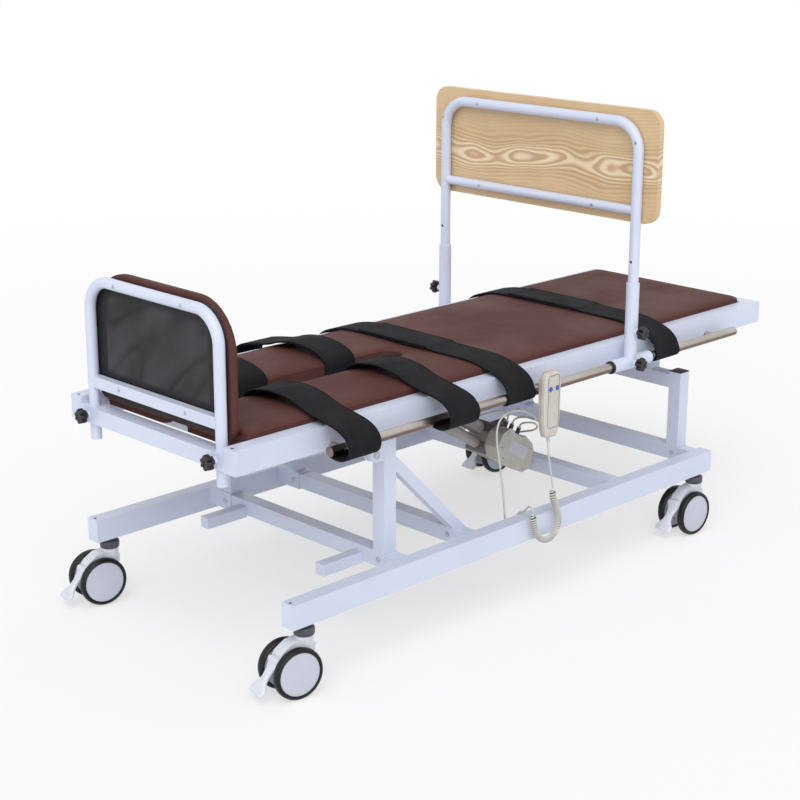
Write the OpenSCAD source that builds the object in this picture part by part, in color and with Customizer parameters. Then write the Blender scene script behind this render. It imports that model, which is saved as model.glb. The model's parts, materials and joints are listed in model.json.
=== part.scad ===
// Motorised tilt table: wheeled base, tilting couch, footboard, work tray, straps and handset

/* [Base frame] */
// Length of the base side rails
base_l = 1580; // [1540:5:1620]
// Gap between the couch frame and a base rail
base_gap = 45; // [35:1:65]
// Height of a rectangular rail tube
rail_h = 60; // [56:1:64]
// Width of a rectangular rail tube
rail_w = 40; // [36:1:44]
// Wall of the steel tubes
wall = 2; // [1.5:0.5:3]
// Side of a square crossmember or post tube
bar = 40; // [36:1:42]
// Foot end of the base to the pivot crossmember
pivot_bar_x = 366; // [360:1:372]
// Foot end of the base to the brace crossmember
brace_bar_x = 606; // [590:1:620]
// Foot end of the base to the drive crossmember
drive_bar_x = 1172; // [1168:1:1180]
// Foot end of the base to the head crossmember
head_bar_x = 1532; // [1524:1:1536]
// Height of the head posts above the base rails
head_post_h = 218; // [212:1:222]
// Side of a diagonal brace tube
brace_w = 28; // [20:1:28]
// Reach of a stop peg in front of the pivot crossmember
peg_l = 129; // [110:1:130]
// Side of a stop peg tube
peg_w = 30; // [24:1:32]
// Distance of a stop peg from the middle plane
peg_y = 220; // [210:1:224]

/* [Couch] */
// Length of the couch frame
couch_l = 1990; // [1980:5:2010]
// Width of the couch frame
couch_w = 620; // [610:5:630]
// Height of the top of the couch rails
couch_z = 590; // [588:1:594]
// Reach of the couch past the foot end of the base
foot_over = 86; // [80:1:90]
// Height of a flat slat tube
slat_h = 20; // [16:1:22]
// Width of a flat slat tube
slat_w = 40; // [36:1:42]
// Tilt pivot in front of the pivot post
pivot_ahead = 25; // [24:1:28]
// Tilt pivot below the underside of the couch rails
pivot_drop = 49; // [46:1:52]
// Thickness of the mattress
pad_t = 43; // [38:1:46]
// Thickness of the mattress board
board_t = 12; // [10:1:14]
// Half the gap between the two leg pads
slot_half = 38; // [34:1:42]
// Foot end of the base to the closed end of the leg gap
slot_x = 715; // [700:1:730]
// Outer diameter of a stainless side rail
side_rail_d = 25; // [24:0.5:26]
// Gap between a side rail and the couch frame
side_gap = 22.5; // [21:0.5:24]
// Foot end of the base to the start of a side rail
side_x0 = 160; // [152:1:162]
// Length of a side rail
side_l = 1567; // [1550:1:1590]

/* [Footboard] */
// Diameter of the footboard tube
foot_tube_d = 27; // [25:0.5:28]
// Distance of a footboard leg inside the couch rails
foot_leg_in = 30; // [25:1:38]
// Height of the footboard above the couch rails
foot_up = 306; // [290:1:330]
// Length of the footboard legs below the couch rails
foot_down = 102; // [96:1:104]
// Bend radius of the footboard tube
foot_bend = 74; // [60:1:80]
// Reach of the couch frame past the footboard pad on each side
foot_pad_in = 58; // [50:1:70]
// Height of the footboard pad
foot_pad_h = 317; // [290:1:330]

/* [Work tray] */
// Foot end of the base to the tray posts
tray_x = 1250; // [1244:1:1254]
// Length of a clamp sleeve on a side rail
sleeve_l = 158; // [150:1:160]
// Outer diameter of a sleeve and its socket
sleeve_d = 35; // [34:0.5:36]
// Height of a socket above its side rail
socket_h = 217; // [200:1:230]
// Diameter of the tray frame tube
tray_tube_d = 28; // [27:0.5:29]
// Height of the tray frame above its side rails
tray_up = 652; // [630:1:670]
// Bend radius of the tray frame tube
tray_bend = 75; // [60:1:90]
// Reach of the wooden tray past the couch frame on each side
tray_out = 90; // [70:2:100]
// Height of the wooden tray, folded up
tray_h = 297; // [280:1:310]
// Thickness of the wooden tray
tray_t = 18; // [15:1:20]

/* [Straps] */
// Width of a strap
strap_w = 102; // [90:1:103]
// Thickness of a strap
strap_t = 5; // [4:0.5:5.5]

/* [Casters] */
// Overall height of a caster
caster_h = 165; // [162:1:170]
// Diameter of a caster wheel
wheel_d = 125; // [120:1:126]
// Width of one wheel of a twin caster
wheel_w = 24; // [20:1:26]
// Distance between the two wheels of a caster
wheel_gap = 46; // [44:1:50]
// Trail of the wheels behind their stem
caster_trail = 38; // [34:1:42]
// Swivel of the foot casters at rest, degrees
foot_yaw = 10; // [8:1:12]
// Swivel of the head casters at rest, degrees
head_yaw = 3; // [0:1:6]

/* [Drive] */
// Length of the closed drive between its pivots
drive_l = 622; // [620:1:624]
// Slope of the drive at rest, degrees
drive_slope = 30.2; // [30:0.1:30.4]
// Diameter of the outer tube of the drive
drive_tube_d = 32; // [30:1:34]
// Diameter of the push rod
rod_d = 20; // [18:1:22]

/* [Handset] */
// Width of the handset
handset_w = 62; // [58:1:62]
// Height of the handset
handset_h = 172; // [164:1:176]
// Thickness of the handset
handset_t = 28; // [24:1:30]
// Foot end of the base to the middle of the handset
handset_x = 886; // [884:1:892]

/* [Hidden] */

// Clearances of loose, running, clamped and soft fits, and the overrun of every cut
slip = 0.3;
run = 0.05;
nip = 0.3;
soft = 0.3;
cut = 1;
$fn = 48;

// Heights and places that the frames share
rail_z = caster_h;
rail_top = rail_z + rail_h;
bar_z = rail_top - bar;
base_w = couch_w + 2 * (base_gap + rail_w);
base_in = base_w / 2 - rail_w;
base_rail_y = base_w / 2 - rail_w / 2;
couch_in = couch_w / 2 - rail_w;
couch_rail_y = couch_w / 2 - rail_w / 2;
couch_x0 = -foot_over;
couch_x1 = couch_l - foot_over;
couch_under = couch_z - rail_h;
pivot_x = pivot_bar_x - pivot_ahead;
pivot_z = couch_under - pivot_drop;

// Sleeves and stubs that hold the crossmembers, and their bolts
sleeve_wall = 3;
lap = 2;
lap_y = couch_in - lap;
bar_near = couch_w / 2 + lap;
bar_far = base_in - lap;
bolt_d = 8;
bolt_head_d = 13;
bolt_head_t = 4;
nut_d = 15;
nut_t = 6;
held_bars = [pivot_bar_x, brace_bar_x, head_bar_x];

// End plates, vent holes and caps
plate_t = 3;
vent_d = 6;
vent_in = 9;
cap_t = 3;
cap_plug = 12;

// Pivot ears, lugs and bolts
post_gap = 3;
ear_t = 4;
ear_reach = 43;
ear_up = 29;
ear_down = 19;
lug_t = 12;
lug_r = 15;
lug_gap = 1.5;
ear_pair_y = couch_w / 2 - ear_t - lug_gap - lug_t - lug_gap - ear_t;
pivot_d = 10;
pivot_head_d = 17;
pivot_head_t = 6;

// Head frame, and the legs by which the couch rests on it
rest_drop = 8;
leg_in = 85;
leg_y = couch_in - leg_in;
leg_gap = 0.3;

// Drive: places along and across its axis, from its base pivot
drive_ahead = 22;
drive_up = 25;
drive_end = drive_bar_x - drive_ahead;
drive_low = bar_z + drive_up;
lift_x = drive_end - drive_l * cos(drive_slope);
lift_z = drive_low + drive_l * sin(drive_slope);
clevis_in = 12;
clevis_t = 4;
clevis_r = 14;
eye_r = 12;
eye_half = 10;
eye_stub = 1.7;
gear_half = 36;
gear_l = 152;
gear_v = 70;
gear_share = [[0.145, -0.343], [0.928, -0.343], [1, 0.143], [1, 0.486], [0.921, 0.943], [0.395, 1],
              [0.145, 0.629]];
tube_start = 100;
rod_out = 94;
tube_end = drive_l - rod_out;
bore_start = 126;
guide_l = 14;
piston_x = 130;
piston_l = 20;
motor_d = 38;
motor_l = 150;
motor_v = 40;
motor_y = -8;
motor_cap = 10;
box_t = 50;
box_l = 155;
box_v = 67;
box_share = [[-0.039, -0.149], [0.129, -0.448], [0.845, -0.418], [1, 0.015], [0.994, 0.657],
             [0.852, 0.985], [0.723, 0.985], [0.697, 0.896], [0.452, 0.896], [0.4, 1],
             [0.135, 0.836], [0.032, 0.597]];
box_lid_t = 3;
box_lip = 1.5;
box_screw_share = [[0.86, 0.78], [0.90, 0.12], [0.76, -0.26], [0.16, -0.30], [0.12, 0.62]];
box_screw_d = 5;
plug_d = 11;
plug_l = 18;
plug_share = [0.67, 0.45, 0.84];
grommet_d = 9;
grommet_l = 6;
grommet_y = 20;
tie_w = 5;
tie_t = 1.5;
switch_in = 104;
switch_x = tube_end - switch_in;
switch_l = 26;
switch_w = 12;
switch_up = 9;

// Casters, as if the stem stood at the origin; profiles are shares of the caster height
foot_caster_x = 49;
head_caster_in = 51;
head_caster_x = base_l - head_caster_in;
caster_spots = [[foot_caster_x, -base_rail_y, -foot_yaw], [foot_caster_x, base_rail_y, -foot_yaw],
                [head_caster_x, -base_rail_y, -head_yaw], [head_caster_x, base_rail_y, -head_yaw]];
wheel_r = wheel_d / 2;
tyre_t = 12.5;
disc_r = wheel_r - tyre_t;
disc_round = 3;
tyre_seat = 0.2;
tyre_round = 8;
axle_d = 10;
flange_d = 34;
flange_t = 3;
collar_d = 50;
collar_h = 20;
collar_drop = 7;
collar_neck_d = 30;
stem_d = 16;
stem_up = 40;
stem_down = 30;
neck_d = 44;
neck_h = 40;
hub_r = 27;
hub_half = 21;
fork_half = 18;
fork_share = [[0.11, 0.62], [0.12, 0.72], [-0.02, 0.82], [-0.26, 0.78], [-0.41, 0.68], [-0.48, 0.57],
              [-0.41, 0.49], [-0.30, 0.50], [-0.23, 0.38], [-0.07, 0.36]];
pedal_pin_d = 6;
pedal_pin_share = [-0.43, 0.55];
fork_ear_r = 10;
pedal_half = 11.5;
pedal_play = 0.5;
pedal_r = 8;
toe_half = 27;
blade_share = [[-0.472, 0.578], [-0.72, 0.262], [-0.66, 0.21], [-0.39, 0.523]];
toe_share = [[-0.815, 0.175], [-0.79, 0.14], [-0.65, 0.135], [-0.64, 0.165], [-0.65, 0.24],
             [-0.70, 0.265], [-0.76, 0.225]];

// Star knobs: a stud, a neck and a seven-lobed grip
stud_d = 8;
boss_d = 18;
boss_l = 6;
knob_gap = 0.5;
knob_neck_d = 18;
knob_neck_l = 6;
knob_core_d = 28;
knob_l = 18;
knob_dome = 4;
lobe_d = 12;
lobes = 7;
lobe_ring = 13;
knob_d = 2 * lobe_ring + lobe_d;
knob_out = boss_l + knob_gap + knob_neck_l + knob_l;

// The whole stands centred on its own origin
mid_x = (couch_x1 + couch_x0 - knob_out) / 2;
mid_y = caster_trail * sin(foot_yaw);

// Couch cross tubes, mattress board and mattress
foot_tube_x = couch_x0 + bar / 2;
foot_tube_drop = 58;
foot_tube_z = couch_z - foot_tube_drop;
stop_slat_x = 25;
lift_reach = 34;
lift_bar_x = lift_x + lift_reach;
mid_slat_x = 1100;
slat_up = 8;
slat_z = couch_under + slat_up;
board_z = slat_z + slat_h;
head_tube_z = couch_z - bar;
board_play = 2;
board_x0 = -12;
board_x1 = couch_x1 - bar - board_play;
board_half = couch_in - board_play;
pad_z = board_z + board_t;
pad_corner = 16;
pad_share = [[0.1, 0], [0, 0.19], [0, 0.6], [0.07, 0.745], [0.23, 0.84], [0.7, 0.93], [1.63, 1]];

// Side rails on their standoffs
side_y = couch_w / 2 + side_gap + side_rail_d / 2;
side_up = 10;
side_z = couch_under + side_up;
side_wall = 1.5;
standoff_d = 16;
standoff_share = [0.0255, 0.4505, 0.9445];
standoff_x = [for (s = standoff_share) side_x0 + s * side_l];
button_head_d = 9;
button_head_t = 2.5;

// Footboard
foot_r = foot_tube_d / 2;
foot_leg_y = couch_in - foot_leg_in;
foot_pad_w = couch_w - 2 * foot_pad_in;
foot_sleeve_d = 34;
foot_board_t = 8;
foot_pad_t = 28;
foot_board_x = foot_tube_x + foot_r + nip;
foot_pad_x = foot_board_x + foot_board_t;
foot_pad_drop = 4;
foot_pad_z = couch_z - foot_pad_drop;
foot_corner = 120;
foot_corner_low = 30;
foot_board_in = 15;
foot_board_corner = 85;
foot_top_z = couch_z + foot_up - foot_r;
foot_low_z = couch_z - foot_down;
foot_bar_up = 30;
foot_bar_z = couch_z + foot_bar_up;
foot_bar_t = 20;
foot_bar_h = 28;
foot_screw_y = 125;
foot_pad_share = [[0.2, 0], [0, 0.2], [0, 0.55], [0.14, 0.8], [0.5, 0.93], [1.6, 1]];
screw_d = 5;
screw_head_d = 8;
screw_head_t = 2.5;
screw_bite = 4;

// Work tray
tray_r = tray_tube_d / 2;
sleeve_bore = sleeve_d - 2 * wall;
bush_in = 14;
bush_lip = 6;
tray_top_z = side_z + tray_up - tray_r;
tray_w = couch_w + 2 * tray_out;
tray_low_up = 8;
tray_low_z = side_z + sleeve_d / 2 + tray_low_up;
tray_bar_drop = 228;
tray_bar_z = tray_top_z - tray_bar_drop;
tray_bar_d = 25;
tray_board_drop = 263;
tray_board_z = tray_top_z - tray_board_drop;
tray_corner = 42;
socket_knob_up = 86;
socket_knob_z = side_z + socket_knob_up;
socket_floor = 4.5;
snap_up = 275;
snap_z = side_z + snap_up;
snap_d = 8;
tray_top_screw_y = 215;
tray_low_screw_y = 205;
tray_side_screw_drop = 48;
tray_side_screw_z = tray_top_z - tray_side_screw_drop;

// Straps: points out from the middle plane and up from the mattress board, as shares
strap_z = pad_z + pad_t + soft + strap_t / 2;
strap_lap = strap_t + soft;
wrap_step = 12;
strap_steps = 110;
wrap_r = side_rail_d / 2 + soft + strap_t / 2;
shin_x = [165, 200];
knee_x = [495, 493];
hip_x = 748;
chest_beyond = 98;
chest_x = tray_x + chest_beyond;
leg_strap_share = [[0.135, 1.09], [0.26, 1.35], [0.435, 1.455], [0.62, 1.31], [0.76, 0.99],
                   [0.92, 0.84], [1.09, 0.62], [1.17, 0.16], [1.165, -0.33], [1.12, -0.58],
                   [1.06, -0.66]];
edge_strap_share = [[0.76, 0.94], [0.905, 0.70], [1, 0.34]];
strap_tip = 185;
strap_end = 60;

// Handset: a half outline as shares of the width and the height
handset_drop = 120;
handset_z = side_z - handset_drop;
hook_t = 3.5;
handset_back = side_y + side_rail_d / 2 + hook_t;
handset_share = [[0.26, 0], [0.32, 0.02], [0.375, 0.07], [0.425, 0.14], [0.47, 0.25], [0.495, 0.4],
                 [0.5, 0.6], [0.5, 0.86], [0.47, 0.93], [0.40, 0.975], [0.28, 1]];
handset_edge = 5;
hook_w = 20;
hook_leg = 8;
key_d = 10;
key_out = 1.6;
key_in = 4;
key_room = 1.8;
key_dx = 12.5;
key_up = 130;
key_z = handset_z + key_up;
relief_d = 9;
relief_l = 14;

// Handset cord: its helix, and routes whose points are chosen by hand
cord_d = 5;
cord_sides = 8;
curl_sides = 6;
curl_r = 6.5;
curls = 40;
curl_steps = 8;
tail_rings = 78;
lead_rings = 14;
lead_route = [[886, -375, 405.7], [886, -375, 398], [886, -376, 385], [884, -380, 368],
              [879, -388, 350], [872, -399, 331], [866, -409, 312], [864, -413, 300],
              [864, -413, 294.3]];
curl_route = [[864, -413, 294], [864, -413, 284], [866, -413, 270], [872, -413, 253],
              [880, -413, 236], [888, -413, 218], [891, -413, 200], [887, -413, 182],
              [875, -413, 168], [858, -413, 160], [840, -413, 160], [822, -413, 168],
              [808, -413, 182], [799, -413, 200], [793, -413, 218], [790, -413, 234],
              [789, -413, 244]];
tail_route = [[789, -413, 244.3], [789, -413, 251], [791, -409, 258], [793, -399, 260],
              [796, -388, 252], [799, -377, 240], [801, -367, 234], [803, -359, 231],
              [804, -351, 226], [804, -348, 218], [804, -345, 206], [803, -341, 190], [800, -340, 172],
              [792, -340, 158], [781, -340, 154], [772, -340, 162], [768, -340, 178],
              [766, -340, 204], [764, -340, 235], [760, -340, 268], [755, -340, 302],
              [748, -340, 340], [740, -340, 378], [733, -340, 412], [728, -340, 444],
              [730, -340, 470], [740, -340, 488], [757, -340, 498], [778, -340, 501],
              [802, -340, 499], [828, -340, 492], [852, -338, 482], [876, -330, 470],
              [900, -314, 458], [928, -292, 444], [960, -264, 428], [998, -232, 410],
              [1038, -202, 390], [1076, -178, 372], [1102, -164, 363], [1112, -154, 360],
              [1112, -146, 360], [1112, -138.3, 360]];
plug_lead_route = [[1112, -138, 360], [1112, -130, 360], [1112, -112, 361], [1111, -92, 359],
                   [1109, -74, 353]];
switch_lead_route = [[146, 60, 106], [172, 56, 100], [205, 46, 76], [245, 36, 46], [290, 25, 26],
                     [335, 13, 19], [375, 4, 18.8], [400, 0, 18.8], [410, 0, 18.8]];
motor_lead_route = [[1144, -76, 332], [1155, -90, 333], [1166, -97, 325],
                    [1172, -92, 312], [1172, -74, 302], [1168, -54, 296], [1162, -36, 291]];

// Points and paths
function unit(v) = v / norm(v);
function chaikin(p) = concat([p[0]],
    [for (i = [0:len(p) - 2]) each [p[i] * 3 / 4 + p[i + 1] / 4, p[i] / 4 + p[i + 1] * 3 / 4]],
    [p[len(p) - 1]]);
function smooth(p, passes) = passes == 0 ? p : smooth(chaikin(p), passes - 1);
function arc(cx, cy, r, from, to, steps) =
    [for (i = [0:steps]) let (a = from + (to - from) * i / steps) [cx + r * cos(a), cy + r * sin(a)]];
function scaled(shares, w, h) = [for (s = shares) [s[0] * w, s[1] * h]];
function reversed(p) = [for (i = [len(p) - 1:-1:0]) p[i]];
function travel(p) = [for (i = 0, s = 0; i < len(p); i = i + 1,
    s = i < len(p) ? s + norm(p[i] - p[i - 1]) : s) s];
function spot(p, s, at) = let (i = max([0, for (j = [0:len(p) - 2]) if (s[j] <= at) j]),
    part = s[i + 1] > s[i] ? (at - s[i]) / (s[i + 1] - s[i]) : 0) p[i] + (p[i + 1] - p[i]) * part;
function spaced(p, n) = let (s = travel(p), l = s[len(s) - 1])
    [for (i = [0:n - 1]) spot(p, s, l * i / (n - 1))];

// A ribbon of even thickness along a path in a plane
function path_normal(p, i) = let (a = p[max(i - 1, 0)], b = p[min(i + 1, len(p) - 1)], t = unit(b - a))
    [-t[1], t[0]];
function ribbon(p, t) = concat([for (i = [0:len(p) - 1]) p[i] + path_normal(p, i) * t / 2],
    reversed([for (i = [0:len(p) - 1]) p[i] - path_normal(p, i) * t / 2]));

// A round tube along a path in space
function tangent(p, i) = unit(p[min(i + 1, len(p) - 1)] - p[max(i - 1, 0)]);
function square_to(v, t) = unit(v - t * (v * t));
function guides(p, first) = [for (i = 0, g = square_to(first, tangent(p, 0)); i < len(p);
    i = i + 1, g = i < len(p) ? square_to(g, tangent(p, i)) : g) g];
module swept(p, d, sides, first) {
    g = guides(p, first);
    n = len(p);
    points = [for (i = [0:n - 1], k = [0:sides - 1])
        let (t = tangent(p, i), b = cross(t, g[i]), a = 360 * k / sides)
        p[i] + (g[i] * cos(a) + b * sin(a)) * d / 2];
    skin = [for (i = [0:n - 2], k = [0:sides - 1])
        let (a = i * sides + k, b = i * sides + (k + 1) % sides)
        each [[a, a + sides, b], [b, a + sides, b + sides]]];
    ends = [for (k = [1:sides - 2]) each [[0, k, k + 1],
        [(n - 1) * sides, (n - 1) * sides + k + 1, (n - 1) * sides + k]]];
    polyhedron(points, concat(skin, ends));
}

// A cushion: rings of one outline that step inward as they rise
module cushion(rings) {
    n = len(rings[0]);
    m = len(rings);
    skin = [for (i = [0:m - 2], k = [0:n - 1])
        let (a = i * n + k, b = i * n + (k + 1) % n) each [[a, a + n, b], [b, a + n, b + n]]];
    low = [for (k = [0:n - 1]) k];
    high = [for (k = [n - 1:-1:0]) (m - 1) * n + k];
    polyhedron([for (r = rings) each r], concat(skin, [low, high]));
}

// Placing and simple shapes
module place() translate([-mid_x, -mid_y, 0]) children();
module both_sides() {
    children();
    mirror([0, 1, 0]) children();
}
module block(x, y, z) translate([x[0], y[0], z[0]]) cube([x[1] - x[0], y[1] - y[0], z[1] - z[0]]);
module rod_x(d, x) translate([x[0], 0, 0]) rotate([0, 90, 0]) cylinder(d = d, h = x[1] - x[0]);
module rod_y(d, y) translate([0, y[0], 0]) rotate([-90, 0, 0]) cylinder(d = d, h = y[1] - y[0]);
module sheet_y(y) translate([0, y[1], 0]) rotate([90, 0, 0]) linear_extrude(y[1] - y[0]) children();
module sheet_x(x) translate([x, 0, 0]) rotate([90, 0, 90]) linear_extrude(strap_w) children();
module rounded_square(w, h, r) {
    for (x = [r, w - r], y = [r, h - r]) translate([x, y]) circle(r);
    translate([r, 0]) square([w - 2 * r, h]);
    translate([0, r]) square([w, h - 2 * r]);
}
module hexagon(d) polygon([for (i = [0:5]) [d / 2 * cos(60 * i), d / 2 * sin(60 * i)]]);

// Tubes along each axis, from the middle of their underside
module tube_x(x, w, h, closed = 0) difference() {
    block(x, [-w / 2, w / 2], [0, h]);
    block([x[0] + closed, x[1] - closed] + (closed ? [0, 0] : [-cut, cut]),
          [wall - w / 2, w / 2 - wall], [wall, h - wall]);
}
module tube_y(y, w, h) difference() {
    block([0, w], y, [0, h]);
    block([wall, w - wall], y + [-cut, cut], [wall, h - wall]);
}
module tube_z(z, w) difference() {
    block([0, w], [-w / 2, w / 2], z);
    block([wall, w - wall], [wall - w / 2, w / 2 - wall], z + [-cut, cut]);
}
module vented_rail(x, y, z) {
    translate([0, y, z]) difference() {
        tube_x(x, rail_w, rail_h, plate_t);
        translate([x[0] + vent_in, 0, rail_h / 2]) cylinder(d = vent_d, h = rail_h);
    }
}
module bent_u(d, half, low, top, bend) {
    both_sides() {
        translate([0, half, low]) cylinder(d = d, h = top - bend - low);
        translate([0, half - bend, top - bend]) rotate([90, 0, 90])
            rotate_extrude(angle = 90) translate([bend, 0]) circle(d / 2);
    }
    translate([0, 0, top]) rod_y(d, [bend - half, half - bend]);
}

// Fastenings
module nut(t) linear_extrude(t) hexagon(nut_d);
module pan_head(d, t) intersection() {
    cylinder(d = d, h = t);
    translate([0, 0, t - d]) sphere(d);
}
module star_knob(stud) {
    cylinder(d = stud_d, h = stud + knob_gap + knob_neck_l);
    translate([0, 0, stud + knob_gap]) cylinder(d = knob_neck_d, h = knob_neck_l);
    translate([0, 0, stud + knob_gap + knob_neck_l]) intersection() {
        linear_extrude(knob_l) {
            circle(d = knob_core_d);
            for (i = [0:lobes - 1]) rotate(360 / lobes * i) translate([lobe_ring, 0]) circle(d = lobe_d);
        }
        rotate_extrude() polygon(concat([[0, 0], [knob_d / 2 - knob_dome / 2, 0],
            [knob_d / 2, knob_dome / 2]],
            arc(knob_d / 2 - knob_dome, knob_l - knob_dome, knob_dome, 0, 90, 4), [[0, knob_l]]));
    }
}

// Base frame
module base_rails() color("lavender") place() difference() {
    for (side = [-1, 1]) vented_rail([0, base_l], side * base_rail_y, rail_z);
    for (c = caster_spots) translate([c[0], c[1], rail_z - cut])
        cylinder(d = stem_d + 2 * run, h = wall + 2 * cut);
}

module bolt_bores() for (x = held_bars, side = [-1, 1])
    translate([0, side * couch_rail_y, bar_z + bar / 2])
        rod_x(bolt_d + 2 * run, [x - sleeve_wall - slip - cut, x + bar + sleeve_wall + slip + cut]);

module base_crossmembers() color("lavender") place() {
    difference() {
        for (x = held_bars) translate([x, 0, bar_z]) tube_y([-bar_near, bar_far], bar, bar);
        bolt_bores();
    }
    translate([drive_bar_x, 0, bar_z]) tube_y([-base_in, base_in], bar, bar);
}

module crossmember_brackets() color("lavender") place() difference() {
    out = slip + sleeve_wall;
    inset = wall + slip;
    for (x = held_bars) {
        difference() {
            block([x - out, x + bar + out], [lap_y, base_in], [bar_z - out, rail_top + out]);
            block([x - slip, x + bar + slip], [lap_y - cut, base_in + cut],
                  [bar_z - slip, rail_top + slip]);
        }
        translate([x + inset, 0, bar_z + inset])
            tube_y([-base_in, -lap_y], bar - 2 * inset, bar - 2 * inset);
    }
    bolt_bores();
}

module crossmember_bolts() color("gainsboro") place() for (x = held_bars, side = [-1, 1]) {
    out = side > 0 ? slip + sleeve_wall : 0;
    translate([0, side * couch_rail_y, bar_z + bar / 2]) {
        rod_x(bolt_d, [x - out, x + bar + out + nut_t]);
        translate([x - out, 0, 0]) rotate([0, -90, 0]) pan_head(bolt_head_d, bolt_head_t);
        translate([x + bar + out, 0, 0]) rotate([0, 90, 0]) nut(nut_t);
    }
}

module stop_pegs() color("lavender") place() both_sides()
    translate([0, peg_y, bar_z - wall - cap_t]) {
        tube_x([pivot_bar_x - peg_l + cap_t, pivot_bar_x], peg_w, peg_w);
        block([pivot_bar_x - peg_l, pivot_bar_x - peg_l + cap_t], [-peg_w / 2, peg_w / 2], [0, peg_w]);
    }

// The far post and brace stand on their sleeve, the near ones on the crossmember itself
function stand_z(side) = rail_top + (side > 0 ? slip + sleeve_wall : 0);
module brace_side(low, inset) {
    post = pivot_bar_x + bar;
    rise = brace_bar_x + bar / 2 - post;
    half = (brace_w / 2 - inset) * sqrt(2);
    top = rail_top + rise;
    polygon([[post, top + half], [post, top - half], [post + top - half - low, low],
             [post + top + half - low, low]]);
}
module pivot_frame() color("lavender") place() for (side = [-1, 1]) {
    out = side * couch_w / 2;
    y = side > 0 ? [out - brace_w, out] : [out, out + brace_w];
    translate([pivot_bar_x, side * couch_rail_y, 0])
        tube_z([stand_z(side), couch_under - post_gap], bar);
    difference() {
        sheet_y(y) brace_side(stand_z(side), 0);
        sheet_y(y + [wall, -wall]) brace_side(stand_z(side), wall);
    }
}

module pivot_ears() color("lavender") place() both_sides() difference() {
    for (y = [couch_w / 2 - ear_t, ear_pair_y])
        sheet_y([y, y + ear_t]) translate([pivot_bar_x, pivot_z]) {
            translate([-ear_reach + ear_down, -ear_down]) square([ear_reach - ear_down, ear_up + ear_down]);
            translate([-pivot_ahead, 0]) circle(ear_down);
            translate([-ear_reach, 0]) square([ear_reach, ear_up]);
        }
    translate([pivot_x, 0, pivot_z]) rod_y(pivot_d + 2 * run, [ear_pair_y - cut, couch_w]);
}

module pivot_bolt(inner, outer) {
    rod_y(pivot_d, [inner - nut_t, outer]);
    translate([0, outer, 0]) rotate([-90, 0, 0]) pan_head(pivot_head_d, pivot_head_t);
    translate([0, inner, 0]) rotate([90, 0, 0]) linear_extrude(nut_t) hexagon(pivot_head_d);
}
module pivot_bolts() color("silver") place() {
    both_sides() translate([pivot_x, 0, pivot_z]) pivot_bolt(ear_pair_y, couch_w / 2);
    translate([drive_end, 0, drive_low]) pivot_bolt(-clevis_in - clevis_t, clevis_in + clevis_t);
}

module head_frame() color("lavender") place() {
    for (side = [-1, 1]) translate([head_bar_x, side * couch_rail_y, 0])
        tube_z([stand_z(side), rail_top + head_post_h], bar);
    translate([head_bar_x, 0, rail_top + head_post_h - rest_drop - bar])
        tube_y([-couch_in, couch_in], bar, bar);
}

module post_caps() color("black") place() both_sides()
    translate([head_bar_x, couch_rail_y, rail_top + head_post_h]) {
        block([0, bar], [-bar / 2, bar / 2], [0, cap_t]);
        inset = wall + slip;
        block([inset, bar - inset], [inset - bar / 2, bar / 2 - inset], [-cap_plug, 0]);
    }

module clevis(x, z, wall_x) both_sides() sheet_y([clevis_in, clevis_in + clevis_t]) {
    translate([x, z]) circle(clevis_r);
    translate([min(x, wall_x), z - clevis_r]) square([abs(wall_x - x), 2 * clevis_r]);
}
module drive_bracket() color("lavender") place() difference() {
    clevis(drive_end, drive_low, drive_bar_x);
    translate([drive_end, 0, drive_low])
        rod_y(pivot_d + 2 * run, [-clevis_in - clevis_t - cut, clevis_in + clevis_t + cut]);
}

module caster_stems() color("dimgray") place() for (c = caster_spots)
    translate([c[0], c[1], caster_h]) {
        translate([0, 0, -flange_t]) cylinder(d = flange_d, h = flange_t);
        translate([0, 0, -collar_drop]) cylinder(d = collar_neck_d, h = collar_drop);
        translate([0, 0, -collar_drop - collar_h]) rotate_extrude() polygon([[0, 0],
            [collar_d / 2 - plate_t, 0], [collar_d / 2, plate_t],
            [collar_d / 2, collar_h - plate_t], [collar_d / 2 - plate_t, collar_h], [0, collar_h]]);
        translate([0, 0, -collar_drop - collar_h - stem_down])
            cylinder(d = stem_d, h = collar_drop + collar_h + stem_down + stem_up);
    }

// Casters
module at_caster(i) place() translate([caster_spots[i][0], caster_spots[i][1], 0])
    rotate(caster_spots[i][2]) children();
module caster_fork(i) color("white") at_caster(i) difference() {
    top = caster_h - collar_drop - collar_h - slip;
    pin = pedal_pin_share * caster_h;
    union() {
        translate([0, 0, top - neck_h]) cylinder(d = neck_d, h = neck_h);
        translate([-caster_trail, 0, wheel_r]) rod_y(2 * hub_r, [-hub_half, hub_half]);
        sheet_y([-fork_half, fork_half]) {
            polygon(scaled(fork_share, caster_h, caster_h));
            translate(pin) circle(fork_ear_r);
        }
    }
    translate([0, 0, top - stem_down - slip]) cylinder(d = stem_d + 2 * run, h = stem_down + 2 * cut);
    translate([-caster_trail, 0, wheel_r]) rod_y(axle_d + 2 * run, [-hub_half - cut, hub_half + cut]);
    translate([pin[0], 0, pin[1]]) rod_y(pedal_pin_d + 2 * run, [-fork_half - cut, fork_half + cut]);
    sheet_y([-pedal_half - pedal_play, pedal_half + pedal_play]) {
        translate(pin) circle(fork_ear_r + pedal_play);
        polygon([pin + [fork_ear_r, -pedal_r], pin + [-fork_ear_r, 3 * pedal_r],
                 pin + [-4 * fork_ear_r, 0], pin + [-4 * fork_ear_r, -4 * fork_ear_r],
                 pin + [pedal_r, -4 * fork_ear_r]]);
    }
}
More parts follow.
